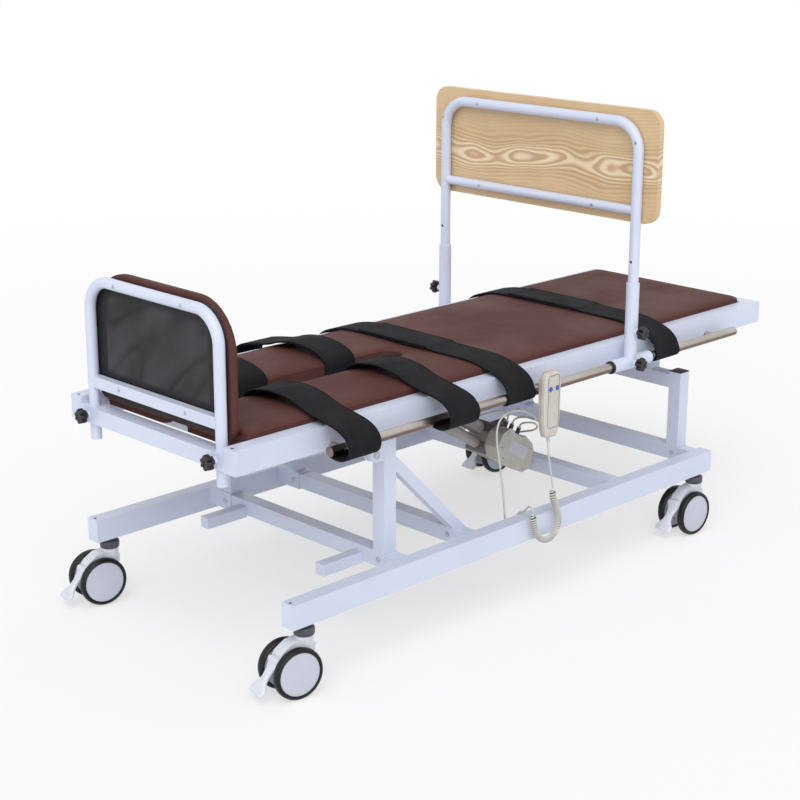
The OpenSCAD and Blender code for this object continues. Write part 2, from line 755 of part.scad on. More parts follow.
module wheel_half() {
    mid = wheel_gap / 2 + wheel_w / 2;
    translate([0, mid, 0]) rotate([90, 0, 0]) {
        rotate_extrude() polygon([[0, -wheel_w / 2 + disc_round], [hub_r, -wheel_w / 2 + disc_round],
            [disc_r - disc_round, 0], [disc_r, disc_round - wheel_w / 2],
            [disc_r, wheel_w / 2 - disc_round], [disc_r - disc_round, wheel_w / 2 - run],
            [0, wheel_w / 2 - run]]);
        rotate_extrude() polygon(concat([[disc_r + tyre_seat, wheel_w / 2 - disc_round],
            [disc_r + tyre_seat, disc_round - wheel_w / 2]],
            arc(wheel_r - tyre_round, tyre_round - wheel_w / 2, tyre_round, -90, 0, 5),
            arc(wheel_r - tyre_round, wheel_w / 2 - tyre_round, tyre_round, 0, 90, 5)));
    }
}
module caster_wheels(i) color("darkslategray") at_caster(i) translate([-caster_trail, 0, wheel_r]) {
    wheel_half();
    mirror([0, 1, 0]) wheel_half();
    rod_y(axle_d, [-wheel_gap / 2 - wheel_w / 2, wheel_gap / 2 + wheel_w / 2]);
}
module brake_pedal(i) color("white") at_caster(i) {
    pin = pedal_pin_share * caster_h;
    sheet_y([-pedal_half, pedal_half]) {
        polygon(scaled(blade_share, caster_h, caster_h));
        translate(pin) circle(pedal_r);
    }
    sheet_y([-toe_half, toe_half]) polygon(scaled(toe_share, caster_h, caster_h));
    translate([pin[0], 0, pin[1]]) rod_y(pedal_pin_d, [-fork_half, fork_half]);
}
module caster_fork_1() caster_fork(0);
module caster_fork_2() caster_fork(1);
module caster_fork_3() caster_fork(2);
module caster_fork_4() caster_fork(3);
module caster_wheels_1() caster_wheels(0);
module caster_wheels_2() caster_wheels(1);
module caster_wheels_3() caster_wheels(2);
module caster_wheels_4() caster_wheels(3);
module brake_pedal_1() brake_pedal(0);
module brake_pedal_2() brake_pedal(1);
module brake_pedal_3() brake_pedal(2);
module brake_pedal_4() brake_pedal(3);

// Couch frame
module couch_rails() color("lavender") place()
    for (side = [-1, 1]) vented_rail([couch_x0, couch_x1], side * couch_rail_y, couch_under);

module couch_cross_tubes() color("lavender") place() {
    y = [-couch_in, couch_in];
    difference() {
        union() {
            translate([couch_x0, 0, foot_tube_z]) tube_y(y, bar, bar);
            both_sides() translate([foot_tube_x, foot_leg_y, foot_tube_z]) {
                cylinder(d = foot_sleeve_d, h = bar);
                translate([0, 0, bar / 2]) rod_x(boss_d, [-bar / 2 - boss_l, 0]);
            }
        }
        both_sides() translate([foot_tube_x, foot_leg_y, foot_tube_z]) {
            translate([0, 0, -cut]) cylinder(d = foot_tube_d + 2 * run, h = bar + 2 * cut);
            translate([0, 0, bar / 2]) rod_x(stud_d + 2 * run, [-bar, 0]);
        }
    }
    translate([stop_slat_x, 0, slat_z]) tube_y(y, slat_w, slat_h);
    translate([lift_bar_x, 0, board_z - bar]) tube_y(y, bar, bar);
    translate([mid_slat_x, 0, slat_z]) tube_y(y, slat_w, slat_h);
    translate([head_bar_x, 0, board_z - bar]) tube_y(y, bar, bar);
    translate([couch_x1 - bar, 0, head_tube_z]) tube_y(y, bar, bar);
    both_sides() translate([head_bar_x, leg_y, 0])
        tube_z([rail_top + head_post_h - rest_drop + leg_gap, board_z - bar], bar);
}

module pivot_lugs() color("lavender") place() both_sides() difference() {
    y = ear_pair_y + ear_t + lug_gap;
    sheet_y([y, y + lug_t]) {
        translate([pivot_x, pivot_z]) circle(lug_r);
        translate([pivot_x - lug_r, pivot_z]) square([2 * lug_r, pivot_drop]);
    }
    translate([pivot_x, 0, pivot_z]) rod_y(pivot_d + 2 * run, [y - cut, y + lug_t + cut]);
}

module lift_bracket() color("lavender") place() {
    clevis(lift_x, lift_z, lift_bar_x);
    both_sides() translate([lift_x, clevis_in + clevis_t, lift_z]) rotate([-90, 0, 0])
        pan_head(pivot_head_d, pivot_head_t);
}

module side_rails() color("silver") place() both_sides() translate([0, side_y, side_z]) {
    difference() {
        union() {
            rod_x(side_rail_d, [side_x0, side_x0 + side_l]);
            for (x = standoff_x) translate([x, 0, 0]) rod_y(standoff_d, [couch_w / 2 - side_y, 0]);
        }
        rod_x(side_rail_d - 2 * side_wall, [side_x0 + plate_t, side_x0 + side_l - plate_t]);
        for (x = [side_x0, side_x0 + side_l]) translate([x, 0, -side_rail_d / 2 - cut])
            translate([x > side_x0 ? -vent_in : vent_in, 0, 0])
                cylinder(d = vent_d / 2, h = side_rail_d / 2);
    }
    for (x = standoff_x) translate([x, side_rail_d / 2 - side_wall, 0]) rotate([-90, 0, 0])
        pan_head(button_head_d, button_head_t + side_wall);
}

// Mattress and its board, both split between the legs
function couch_outline(inset) = let (x0 = board_x0 + inset + pad_corner,
        x1 = board_x1 - inset - pad_corner, y = board_half - inset - pad_corner,
        slot = slot_half + inset, inner = slot + pad_corner)
    concat(arc(x1, y, pad_corner, 0, 90, 4), arc(x0, y, pad_corner, 90, 180, 4),
           arc(x0, inner, pad_corner, 180, 270, 4), arc(slot_x - slot_half, 0, slot, 90, -90, 8),
           arc(x0, -inner, pad_corner, 90, 180, 4), arc(x0, -y, pad_corner, 180, 270, 4),
           arc(x1, -y, pad_corner, 270, 360, 4));
module mattress_board() color("burlywood") place()
    translate([0, 0, board_z]) linear_extrude(board_t) polygon(couch_outline(0));
module mattress() color("saddlebrown") place()
    cushion([for (s = pad_share) [for (p = couch_outline(s[0] * pad_t)) [p[0], p[1], pad_z + s[1] * pad_t]]]);

// Straps: each runs over the mattress, out over the frame and round the side rail
function wrap(from, tuck) = arc(side_y, side_z, wrap_r, from, -90 - tuck,
    ceil((from + 90 + tuck) / wrap_step));
function lift(p) = [for (q = p) q + [0, board_z]];
function leg_path(tuck) = let (y = slot_half - soft - strap_t / 2)
    spaced(smooth(concat([[y, board_z], [y, pad_z + pad_t / 2], [y, pad_z + pad_t * 3 / 4]],
        lift(scaled(leg_strap_share, side_y, board_t + pad_t)), wrap(-99, tuck)), 2), strap_steps);
function half_path(start, raised) = smooth(concat([[start, strap_z + raised]],
    raised > 0 ? [[strap_end, strap_z + raised], [strap_end + strap_lap, strap_z + raised],
                  [strap_end + 5 * strap_lap, strap_z]] : [],
    [[board_half - 2 * pad_t, strap_z], [board_half - pad_t, strap_z]],
    lift(scaled(edge_strap_share, side_y, board_t + pad_t)), wrap(30, 110)), 2);
module shin_straps() color("dimgray") place() {
    sheet_x(shin_x[1]) polygon(ribbon(leg_path(35), strap_t));
    mirror([0, 1, 0]) sheet_x(shin_x[0]) polygon(ribbon(leg_path(35), strap_t));
}
module knee_straps() color("dimgray") place() {
    sheet_x(knee_x[1]) polygon(ribbon(leg_path(110), strap_t));
    mirror([0, 1, 0]) sheet_x(knee_x[0]) polygon(ribbon(leg_path(110), strap_t));
}
module body_strap(x) {
    sheet_x(x) polygon(ribbon(half_path(-strap_end, 0), strap_t));
    mirror([0, 1, 0]) sheet_x(x) polygon(ribbon(half_path(-strap_tip, strap_lap), strap_t));
}
module hip_strap() color("dimgray") place() body_strap(hip_x);
module chest_strap() color("dimgray") place() body_strap(chest_x);

// Footboard
module on_foot_screws() {
    both_sides() translate([foot_tube_x - foot_r, foot_screw_y, foot_top_z]) children();
    both_sides() translate([foot_tube_x - foot_bar_t / 2, foot_screw_y, foot_bar_z + foot_bar_h / 2])
        children();
}
module footboard_frame() color("lavender") place() difference() {
    union() {
        translate([foot_tube_x, 0, 0]) difference() {
            bent_u(foot_tube_d, foot_leg_y, foot_low_z, foot_top_z, foot_bend);
            bent_u(foot_tube_d - 2 * wall, foot_leg_y, foot_low_z + cap_t, foot_top_z, foot_bend);
        }
        difference() {
            block([foot_tube_x - foot_bar_t / 2, foot_tube_x + foot_bar_t / 2],
                  [-foot_leg_y, foot_leg_y], [foot_bar_z, foot_bar_z + foot_bar_h]);
            block([foot_tube_x - foot_bar_t / 2 + wall, foot_tube_x + foot_bar_t / 2 - wall],
                  [-foot_leg_y, foot_leg_y], [foot_bar_z + wall, foot_bar_z + foot_bar_h - wall]);
            both_sides() translate([foot_tube_x, foot_leg_y, foot_bar_z - cut])
                cylinder(d = foot_tube_d - 2 * wall, h = foot_bar_h + 2 * cut);
        }
    }
    on_foot_screws() rod_x(screw_d + 2 * run, [-cut, foot_tube_d + nip]);
}
module footboard_screws() color("silver") place() on_foot_screws() {
    rotate([0, -90, 0]) pan_head(screw_head_d, screw_head_t);
    rod_x(screw_d, [0, foot_tube_d + nip + screw_bite]);
}
module footboard_backing() color("black") place() difference() {
    translate([foot_board_x, 0, foot_pad_z]) rotate([90, 0, 90]) linear_extrude(foot_board_t)
        polygon(foot_outline(foot_board_in, foot_board_corner));
    on_foot_screws() rod_x(screw_d + 2 * run, [0, foot_tube_d + nip + screw_bite + slip]);
}
function foot_outline(inset, r) = let (y = foot_pad_w / 2 - inset, top = foot_pad_h - inset,
        q = foot_corner_low)
    concat(arc(y - r, top - r, r, 0, 90, 10), arc(r - y, top - r, r, 90, 180, 10),
           arc(q - y, inset + q, q, 180, 270, 3), arc(y - q, inset + q, q, 270, 360, 3));
module footboard_pad() color("saddlebrown") place() translate([foot_pad_x, 0, foot_pad_z])
    rotate([90, 0, 90]) cushion([for (s = foot_pad_share)
        [for (p = foot_outline(s[0] * foot_pad_t, foot_corner)) [p[0], p[1], s[1] * foot_pad_t]]]);
module footboard_knob(side) color("dimgray") place()
    translate([foot_tube_x - foot_r - nip, side * foot_leg_y, foot_tube_z + bar / 2])
        rotate([0, -90, 0]) star_knob(bar / 2 - foot_r - nip + boss_l);
module footboard_knob_near() footboard_knob(-1);
module footboard_knob_far() footboard_knob(1);

// Work tray: sleeves and sockets, frame and board
module tray_sockets() color("lavender") place() both_sides() translate([tray_x, side_y, 0]) difference() {
    union() {
        translate([0, 0, side_z]) rod_x(sleeve_d, [-sleeve_l / 2, sleeve_l / 2]);
        translate([0, 0, side_z]) cylinder(d = sleeve_d, h = socket_h);
        for (z = [side_z, socket_knob_z]) translate([0, 0, z])
            rod_y(boss_d, [0, sleeve_d / 2 + boss_l]);
    }
    translate([0, 0, side_z]) rod_x(sleeve_bore, [-sleeve_l, sleeve_l]);
    translate([0, 0, side_z + sleeve_d / 2 + socket_floor])
        cylinder(d = tray_tube_d + 2 * run, h = socket_h);
    for (z = [side_z, socket_knob_z]) translate([0, 0, z]) rod_y(stud_d + 2 * run, [0, sleeve_d]);
}
module tray_bushes() color("dimgray") place() both_sides() translate([tray_x, side_y, side_z])
    for (side = [0, 1]) mirror([side, 0, 0]) difference() {
        union() {
            rod_x(sleeve_bore, [sleeve_l / 2 - bush_in, sleeve_l / 2]);
            rod_x(sleeve_d, [sleeve_l / 2, sleeve_l / 2 + bush_lip]);
        }
        rod_x(side_rail_d + 2 * run, [sleeve_l / 2 - bush_in - cut, sleeve_l / 2 + bush_lip + cut]);
    }
module side_knob(side, z, inner) color("dimgray") place() translate([tray_x, side * side_y, z])
    rotate([-90 * side, 0, 0]) translate([0, 0, inner + nip])
        star_knob(sleeve_d / 2 + boss_l - inner - nip);
module sleeve_knob_near() side_knob(-1, side_z, side_rail_d / 2);
module sleeve_knob_far() side_knob(1, side_z, side_rail_d / 2);
module socket_knob_near() side_knob(-1, socket_knob_z, tray_r);
module socket_knob_far() side_knob(1, socket_knob_z, tray_r);

module on_tray_screws() {
    both_sides() translate([tray_x - tray_r, tray_top_screw_y, tray_top_z]) children();
    both_sides() translate([tray_x - tray_r, side_y, tray_side_screw_z]) children();
    both_sides() translate([tray_x - tray_bar_d / 2, tray_low_screw_y, tray_bar_z]) children();
}
module tray_frame() color("lavender") place() difference() {
    union() {
        translate([tray_x, 0, 0]) bent_u(tray_tube_d, side_y, tray_low_z, tray_top_z, tray_bend);
        translate([tray_x, 0, tray_bar_z]) rod_y(tray_bar_d, [-side_y, side_y]);
    }
    translate([tray_x, 0, 0])
        bent_u(tray_tube_d - 2 * wall, side_y, tray_low_z - cut, tray_top_z, tray_bend);
    translate([tray_x, 0, tray_bar_z]) rod_y(tray_bar_d - 2 * wall, [-side_y, side_y]);
    both_sides() translate([tray_x, side_y, snap_z]) rod_x(snap_d, [-tray_tube_d, 0]);
    on_tray_screws() rod_x(screw_d + 2 * run, [-cut, tray_tube_d + cut]);
}
module tray_board() color("burlywood") place() difference() {
    translate([tray_x + tray_r + nip, -tray_w / 2, tray_board_z]) rotate([90, 0, 90])
        linear_extrude(tray_t) rounded_square(tray_w, tray_h, tray_corner);
    on_tray_screws() rod_x(screw_d + 2 * run, [-cut, tray_tube_d + nip + screw_bite + slip]);
}
module tray_screws() color("silver") place() on_tray_screws() {
    rotate([0, -90, 0]) pan_head(screw_head_d, screw_head_t);
    rod_x(screw_d, [0, tray_tube_d + nip + screw_bite]);
}

// Drive, drawn along +X from its base pivot with +Z across it, then turned into place
module drive_frame() place() translate([drive_end, 0, drive_low]) rotate([0, drive_slope, 0])
    rotate([0, 0, 180]) children();
module drive_housing() color("dimgray") drive_frame() difference() {
    union() {
        sheet_y([-gear_half, gear_half]) polygon(scaled(gear_share, gear_l, gear_v));
        sheet_y([-eye_half, eye_half]) {
            circle(eye_r);
            translate([0, -eye_r]) square([gear_l / 2, 2 * eye_r]);
        }
        rod_x(drive_tube_d, [tube_start, tube_end]);
        translate([0, motor_y, motor_v]) {
            rod_x(motor_d, [gear_l / 2, gear_l + motor_l - motor_cap]);
            rod_x(motor_d - motor_cap, [gear_l, gear_l + motor_l]);
        }
        translate([switch_x, -switch_w / 2, 0]) cube([switch_l, switch_w, drive_tube_d / 2 + switch_up]);
        grommet();
        tie();
    }
    rod_y(pivot_d + 2 * run, [-eye_half - cut, eye_half + cut]);
    rod_x(drive_tube_d - 2 * wall, [bore_start, tube_end - guide_l]);
    rod_x(rod_d + 2 * run, [bore_start, tube_end + cut]);
}
module drive_rod() color("silver") drive_frame() {
    rod_x(rod_d, [piston_x, drive_l - eye_r / 2]);
    rod_x(drive_tube_d - 2 * wall - 2 * run, [piston_x, piston_x + piston_l]);
    translate([drive_l, 0, 0]) {
        rod_y(2 * eye_r, [-eye_half, eye_half]);
        rod_y(pivot_d, [-eye_half - eye_stub, eye_half + eye_stub]);
    }
}

// The tie that holds the switch lead on the tube, and the edge that the motor lead enters
lead_up = drive_tube_d / 2 + cord_d / 2 + soft;
module tie() translate([switch_x - 4 * tie_w, 0, 0]) rotate([90, 0, 90]) linear_extrude(tie_w)
    difference() {
        union() {
            circle(drive_tube_d / 2 + slip + tie_t);
            translate([0, lead_up]) circle(cord_d / 2 + slip + tie_t);
        }
        circle(drive_tube_d / 2);
        translate([0, lead_up]) circle(cord_d / 2 + slip);
    }
grommet_share = 0.5;
function gear_point(i) = [gear_share[i][0] * gear_l, gear_share[i][1] * gear_v];
grommet_at = gear_point(5) + (gear_point(6) - gear_point(5)) * grommet_share;
grommet_dir = let (e = unit(gear_point(5) - gear_point(6))) [-e[1], e[0]];
module grommet() translate([grommet_at[0], grommet_y, grommet_at[1]])
    rotate([0, atan2(grommet_dir[0], grommet_dir[1]), 0]) cylinder(d = grommet_d, h = grommet_l);

module control_box() color("gainsboro") drive_frame() translate([0, gear_half, 0]) {
    difference() {
        union() {
            sheet_y([0, box_t - box_lid_t]) polygon(scaled(box_share, box_l - box_lip, box_v - box_lip));
            sheet_y([box_t - box_lid_t, box_t]) polygon(scaled(box_share, box_l, box_v));
        }
        for (s = box_screw_share) translate([s[0] * box_l, 0, s[1] * box_v])
            rod_y(box_screw_d, [box_t - box_lid_t / 2, box_t + cut]);
    }
    for (s = plug_share) translate([s * box_l, box_t / 2, box_v - box_v / 6])
        cylinder(d = plug_d, h = plug_l + box_v / 6);
}

// Handset on its hook over the near side rail
module handset_face(inset, t) {
    w = handset_w - 2 * inset;
    h = handset_h - 2 * inset;
    half = [for (s = handset_share) [s[0] * w, inset + s[1] * h]];
    sheet_y([-t / 2, t / 2]) polygon(concat(half, reversed([for (p = half) [-p[0], p[1]]])));
}
module keys_at(x) translate([handset_x + x, -handset_back - handset_t, key_z]) children();
module handset_shell() color("gainsboro") place() difference() {
    union() {
        translate([handset_x, -handset_back - handset_t / 2, handset_z]) {
            hull() {
                handset_face(handset_edge, handset_t);
                handset_face(0, handset_t - 2 * handset_edge);
            }
            translate([0, 0, -relief_l]) cylinder(d = relief_d, h = relief_l + handset_edge);
        }
        translate([handset_x - hook_w / 2, -side_y, side_z]) {
            inner = side_rail_d / 2 + slip;
            rotate([90, 0, 90]) linear_extrude(hook_w) difference() {
                union() {
                    circle(inner + hook_t);
                    translate([inner, -hook_leg]) square([hook_t, hook_leg]);
                }
                circle(inner);
                translate([-2 * inner, -2 * inner]) square([3 * inner, 2 * inner]);
            }
        }
    }
    for (x = [-key_dx, key_dx]) keys_at(x) rod_y(key_d + 2 * run, [-cut, key_in + key_room]);
}
module up_button() color("royalblue") place() keys_at(-key_dx) rod_y(key_d, [-key_out, key_in]);
module down_button() color("royalblue") place() keys_at(key_dx) rod_y(key_d, [-key_out, key_in]);

// Cords
module cord(route, rings) swept(spaced(smooth(route, 3), rings), cord_d, cord_sides, [0, 1, 0]);
module cord_lead() color("gainsboro") place() cord(lead_route, lead_rings);
module cord_tail() color("gainsboro") place() cord(tail_route, tail_rings);

// The curl: a helix round its own route, drawn in to the middle at both ends
curl_line = smooth(curl_route, 3);
curl_run = travel(curl_line);
curl_l = curl_run[len(curl_run) - 1];
curl_end = 2 * cord_d;
curl_pitch = (curl_l - 2 * curl_end) / curls;
function curl_point(s) = let (p = spot(curl_line, curl_run, s),
        t = unit(spot(curl_line, curl_run, min(s + cord_d, curl_l))
                 - spot(curl_line, curl_run, max(s - cord_d, 0))),
        side = [0, 1, 0], up = cross(t, side),
        grow = min(1, max(0, min(s, curl_l - s) - cord_d) / cord_d),
        a = 360 * (s - curl_end) / curl_pitch)
    p + (side * cos(a) + up * sin(a)) * curl_r * grow;
curl_points = [for (i = [0:(curls + 2) * curl_steps])
    let (s = curl_l * i / ((curls + 2) * curl_steps)) curl_point(s)];
curl_gap = min([for (i = [curl_steps:len(curl_points) - 2 * curl_steps],
    k = [curl_steps - 2:curl_steps + 2]) norm(curl_points[i + k] - curl_points[i])]) - cord_d;
echo(curl_gap = curl_gap, curl_pitch = curl_pitch, curl_l = curl_l);
module cord_curl() color("gainsboro") place() swept(curl_points, cord_d, curl_sides, [0, 1, 0]);

// Leads between the control box, the handset cord and the gear case
function from_drive(p) = let (c = cos(drive_slope), s = sin(drive_slope))
    [drive_end - p[0] * c + p[2] * s, -p[1], drive_low + p[0] * s + p[2] * c];
function plug_end(i, out) = from_drive([plug_share[i] * box_l, gear_half + box_t / 2,
                                        box_v + plug_l + out]);
function grommet_end(out) = from_drive([grommet_at[0] + grommet_dir[0] * (grommet_l + out), grommet_y,
                                        grommet_at[1] + grommet_dir[1] * (grommet_l + out)]);
module box_leads() color("gainsboro") place() {
    cord(concat(plug_lead_route, [plug_end(0, 2 * cord_d), plug_end(0, soft)]), lead_rings);
    cord(concat([plug_end(1, soft), plug_end(1, 2 * cord_d)], motor_lead_route,
                [grommet_end(2 * cord_d), grommet_end(soft)]), 2 * lead_rings);
    cord(concat([plug_end(2, soft), plug_end(2, 2 * cord_d)],
                [for (p = switch_lead_route) from_drive(p)],
                [from_drive([switch_x - soft, 0, lead_up])]), 2 * lead_rings);
}

base_rails();
base_crossmembers();
crossmember_brackets();
crossmember_bolts();
stop_pegs();
pivot_frame();
pivot_ears();
pivot_bolts();
head_frame();
post_caps();
drive_bracket();
caster_stems();
couch_rails();
couch_cross_tubes();
pivot_lugs();
lift_bracket();
side_rails();
mattress_board();
mattress();
shin_straps();
knee_straps();
hip_strap();
chest_strap();
footboard_frame();
footboard_backing();
footboard_pad();
footboard_screws();
footboard_knob_near();
footboard_knob_far();
tray_sockets();
tray_bushes();
sleeve_knob_near();
sleeve_knob_far();
socket_knob_near();
socket_knob_far();
tray_frame();
tray_board();
tray_screws();
drive_housing();
control_box();
drive_rod();
handset_shell();
up_button();
down_button();
caster_fork_1();
caster_fork_2();
caster_fork_3();
caster_fork_4();
caster_wheels_1();
caster_wheels_2();
caster_wheels_3();
caster_wheels_4();
brake_pedal_1();
brake_pedal_2();
brake_pedal_3();
brake_pedal_4();
cord_lead();
cord_curl();
cord_tail();
box_leads();
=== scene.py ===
import bmesh
import bpy
import json
import math
from mathutils import Matrix, Vector, geometry, noise


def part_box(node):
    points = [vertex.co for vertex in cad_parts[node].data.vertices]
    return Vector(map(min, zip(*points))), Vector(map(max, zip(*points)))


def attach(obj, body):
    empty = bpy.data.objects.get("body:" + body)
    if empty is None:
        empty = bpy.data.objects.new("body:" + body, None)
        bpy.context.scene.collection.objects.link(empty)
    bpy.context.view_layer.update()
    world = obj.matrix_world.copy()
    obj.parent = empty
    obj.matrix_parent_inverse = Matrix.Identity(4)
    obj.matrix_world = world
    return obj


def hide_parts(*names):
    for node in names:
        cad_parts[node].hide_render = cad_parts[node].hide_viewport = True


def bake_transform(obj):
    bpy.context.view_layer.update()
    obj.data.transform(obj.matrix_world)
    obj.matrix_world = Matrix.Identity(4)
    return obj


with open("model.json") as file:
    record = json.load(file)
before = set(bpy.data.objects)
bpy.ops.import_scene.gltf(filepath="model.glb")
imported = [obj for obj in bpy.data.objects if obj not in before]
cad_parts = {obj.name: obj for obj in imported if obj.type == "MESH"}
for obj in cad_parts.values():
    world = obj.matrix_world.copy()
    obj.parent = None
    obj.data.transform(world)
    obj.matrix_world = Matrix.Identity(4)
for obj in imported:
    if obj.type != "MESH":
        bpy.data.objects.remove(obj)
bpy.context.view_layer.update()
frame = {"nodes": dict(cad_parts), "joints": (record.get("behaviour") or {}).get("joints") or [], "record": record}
middle = (0.89375, 0.0065986)   # the CAD's origin, from the foot end of the base and its middle plane
print("frame loaded:", len(frame["nodes"]), "nodes")


def at(x, y, z):
    # from the foot end of the base and its middle plane to the CAD's origin
    return Vector((x - middle[0], y - middle[1], z))


# camera, at the photograph's viewing angle
camera = {"place": (-3.24655, -3.11960, 1.79240), "yaw": 45.33, "down": 16.82, "roll": 0.14,
          "lens": 78.35, "sensor": 36.0, "clipEnd": 200}


def makeCamera(c):
    yaw, down, roll = (math.radians(c[k]) for k in ("yaw", "down", "roll"))
    forward = Vector((math.cos(down) * math.cos(yaw), math.cos(down) * math.sin(yaw), -math.sin(down)))
    right = Vector((math.sin(yaw), -math.cos(yaw), 0))
    up = right.cross(forward)
    across = right * math.cos(roll) + up * math.sin(roll)
    upward = up * math.cos(roll) - right * math.sin(roll)
    data = bpy.data.cameras.new("studioCamera")
    data.lens, data.sensor_width, data.clip_end = c["lens"], c["sensor"], c["clipEnd"]
    cam = bpy.data.objects.new("studioCamera", data)
    bpy.context.scene.collection.objects.link(cam)
    turn = Matrix((across, upward, -forward)).transposed()
    cam.matrix_world = Matrix.Translation(c["place"]) @ turn.to_4x4()
    bpy.context.scene.camera = cam


makeCamera(camera)


# mesh helpers
def meshPiece(name, points, faces, smooth=True):
    data = bpy.data.meshes.new(name)
    data.from_pydata([tuple(p) for p in points], [], faces)
    data.validate()
    fixed = bmesh.new()
    fixed.from_mesh(data)
    bmesh.ops.recalc_face_normals(fixed, faces=fixed.faces)
    fixed.to_mesh(data)
    fixed.free()
    if smooth:
        data.shade_smooth()
    piece = bpy.data.objects.new(name, data)
    bpy.context.scene.collection.objects.link(piece)
    return piece


def ringFaces(rings, count, first=0):
    # quads between closed rings of points, the first ring starting at point first
    faces = []
    for i in range(rings - 1):
        for k in range(count):
            a, b = first + i * count + k, first + i * count + (k + 1) % count
            faces.append((a, b, b + count, a + count))
    return faces


def endFaces(rings, count, first=0):
    # the faces that close the first and the last ring
    last = first + (rings - 1) * count
    return [tuple(range(first, first + count)), tuple(range(last, last + count))]


def sheetPiece(name, points):
    # a thin plate between two equal loops of points
    count = len(points) // 2
    return meshPiece(name, points, ringFaces(2, count) + endFaces(2, count), False)


def storeValues(piece, name, values):
    piece.data.attributes.new(name, "FLOAT", "POINT").data.foreach_set("value", values)


def storePlaces(piece, places):
    # "lay": where a point lies on the flat cloth
    lay = piece.data.attributes.new("lay", "FLOAT_VECTOR", "POINT")
    lay.data.foreach_set("vector", [c for place in places for c in place])


def softened(points, passes):
    # rounds a route by cutting its corners
    for _ in range(passes):
        cut = [points[0]]
        for a, b in zip(points, points[1:]):
            cut += [a * 0.75 + b * 0.25, a * 0.25 + b * 0.75]
        points = cut + [points[-1]]
    return points


def lengthOf(points):
    return sum((b - a).length for a, b in zip(points, points[1:]))


def runsOf(points):
    # the way travelled up to each point of a route
    runs = [0.0]
    for a, b in zip(points, points[1:]):
        runs.append(runs[-1] + (b - a).length)
    return runs


def evenly(points, count):
    runs = runsOf(points)
    out, j = [], 0
    for i in range(count):
        want = runs[-1] * i / (count - 1)
        while j < len(runs) - 2 and runs[j + 1] < want:
            j += 1
        span = runs[j + 1] - runs[j]
        out.append(points[j].lerp(points[j + 1], (want - runs[j]) / span if span else 0))
    return out


def tubePiece(name, points, radius, sides):
    # a round tube along a route, with frames that don't twist
    rings, side = [], Vector((0, 1, 0))
    if abs((points[1] - points[0]).normalized().y) > .9:
        side = Vector((0, 0, 1))
    for i, p in enumerate(points):
        run = (points[min(i + 1, len(points) - 1)] - points[max(i - 1, 0)]).normalized()
        side = (side - run * side.dot(run)).normalized()
        up = run.cross(side)
        for k in range(sides):
            a = 2 * math.pi * k / sides
            rings.append(p + (side * math.cos(a) + up * math.sin(a)) * radius)
    return meshPiece(name, rings, ringFaces(len(points), sides) + endFaces(len(points), sides))


def latheRings(profile, steps, centre, axis):
    # profile holds (radius, place along the axis); the rings go round the axis through centre
    side = axis.orthogonal().normalized()
    up = axis.cross(side)
    points = []
    for r, h in profile:
        for k in range(steps):
            a = 2 * math.pi * k / steps
            points.append(centre + axis * h + (side * math.cos(a) + up * math.sin(a)) * max(r, 1e-5))
    return points, ringFaces(len(profile), steps)


def lathePiece(name, parts, steps):
    # parts: (profile, centre, axis)
    points, faces = [], []
    for profile, centre, axis in parts:
        p, f = latheRings(profile, steps, centre, axis)
        faces += [tuple(len(points) + v for v in face) for face in f]
        points += p
    piece = meshPiece(name, points, faces)
    weld = bmesh.new()
    weld.from_mesh(piece.data)
    bmesh.ops.remove_doubles(weld, verts=weld.verts, dist=5e-5)
    bmesh.ops.recalc_face_normals(weld, faces=weld.faces)
    weld.to_mesh(piece.data)
    weld.free()
    return piece


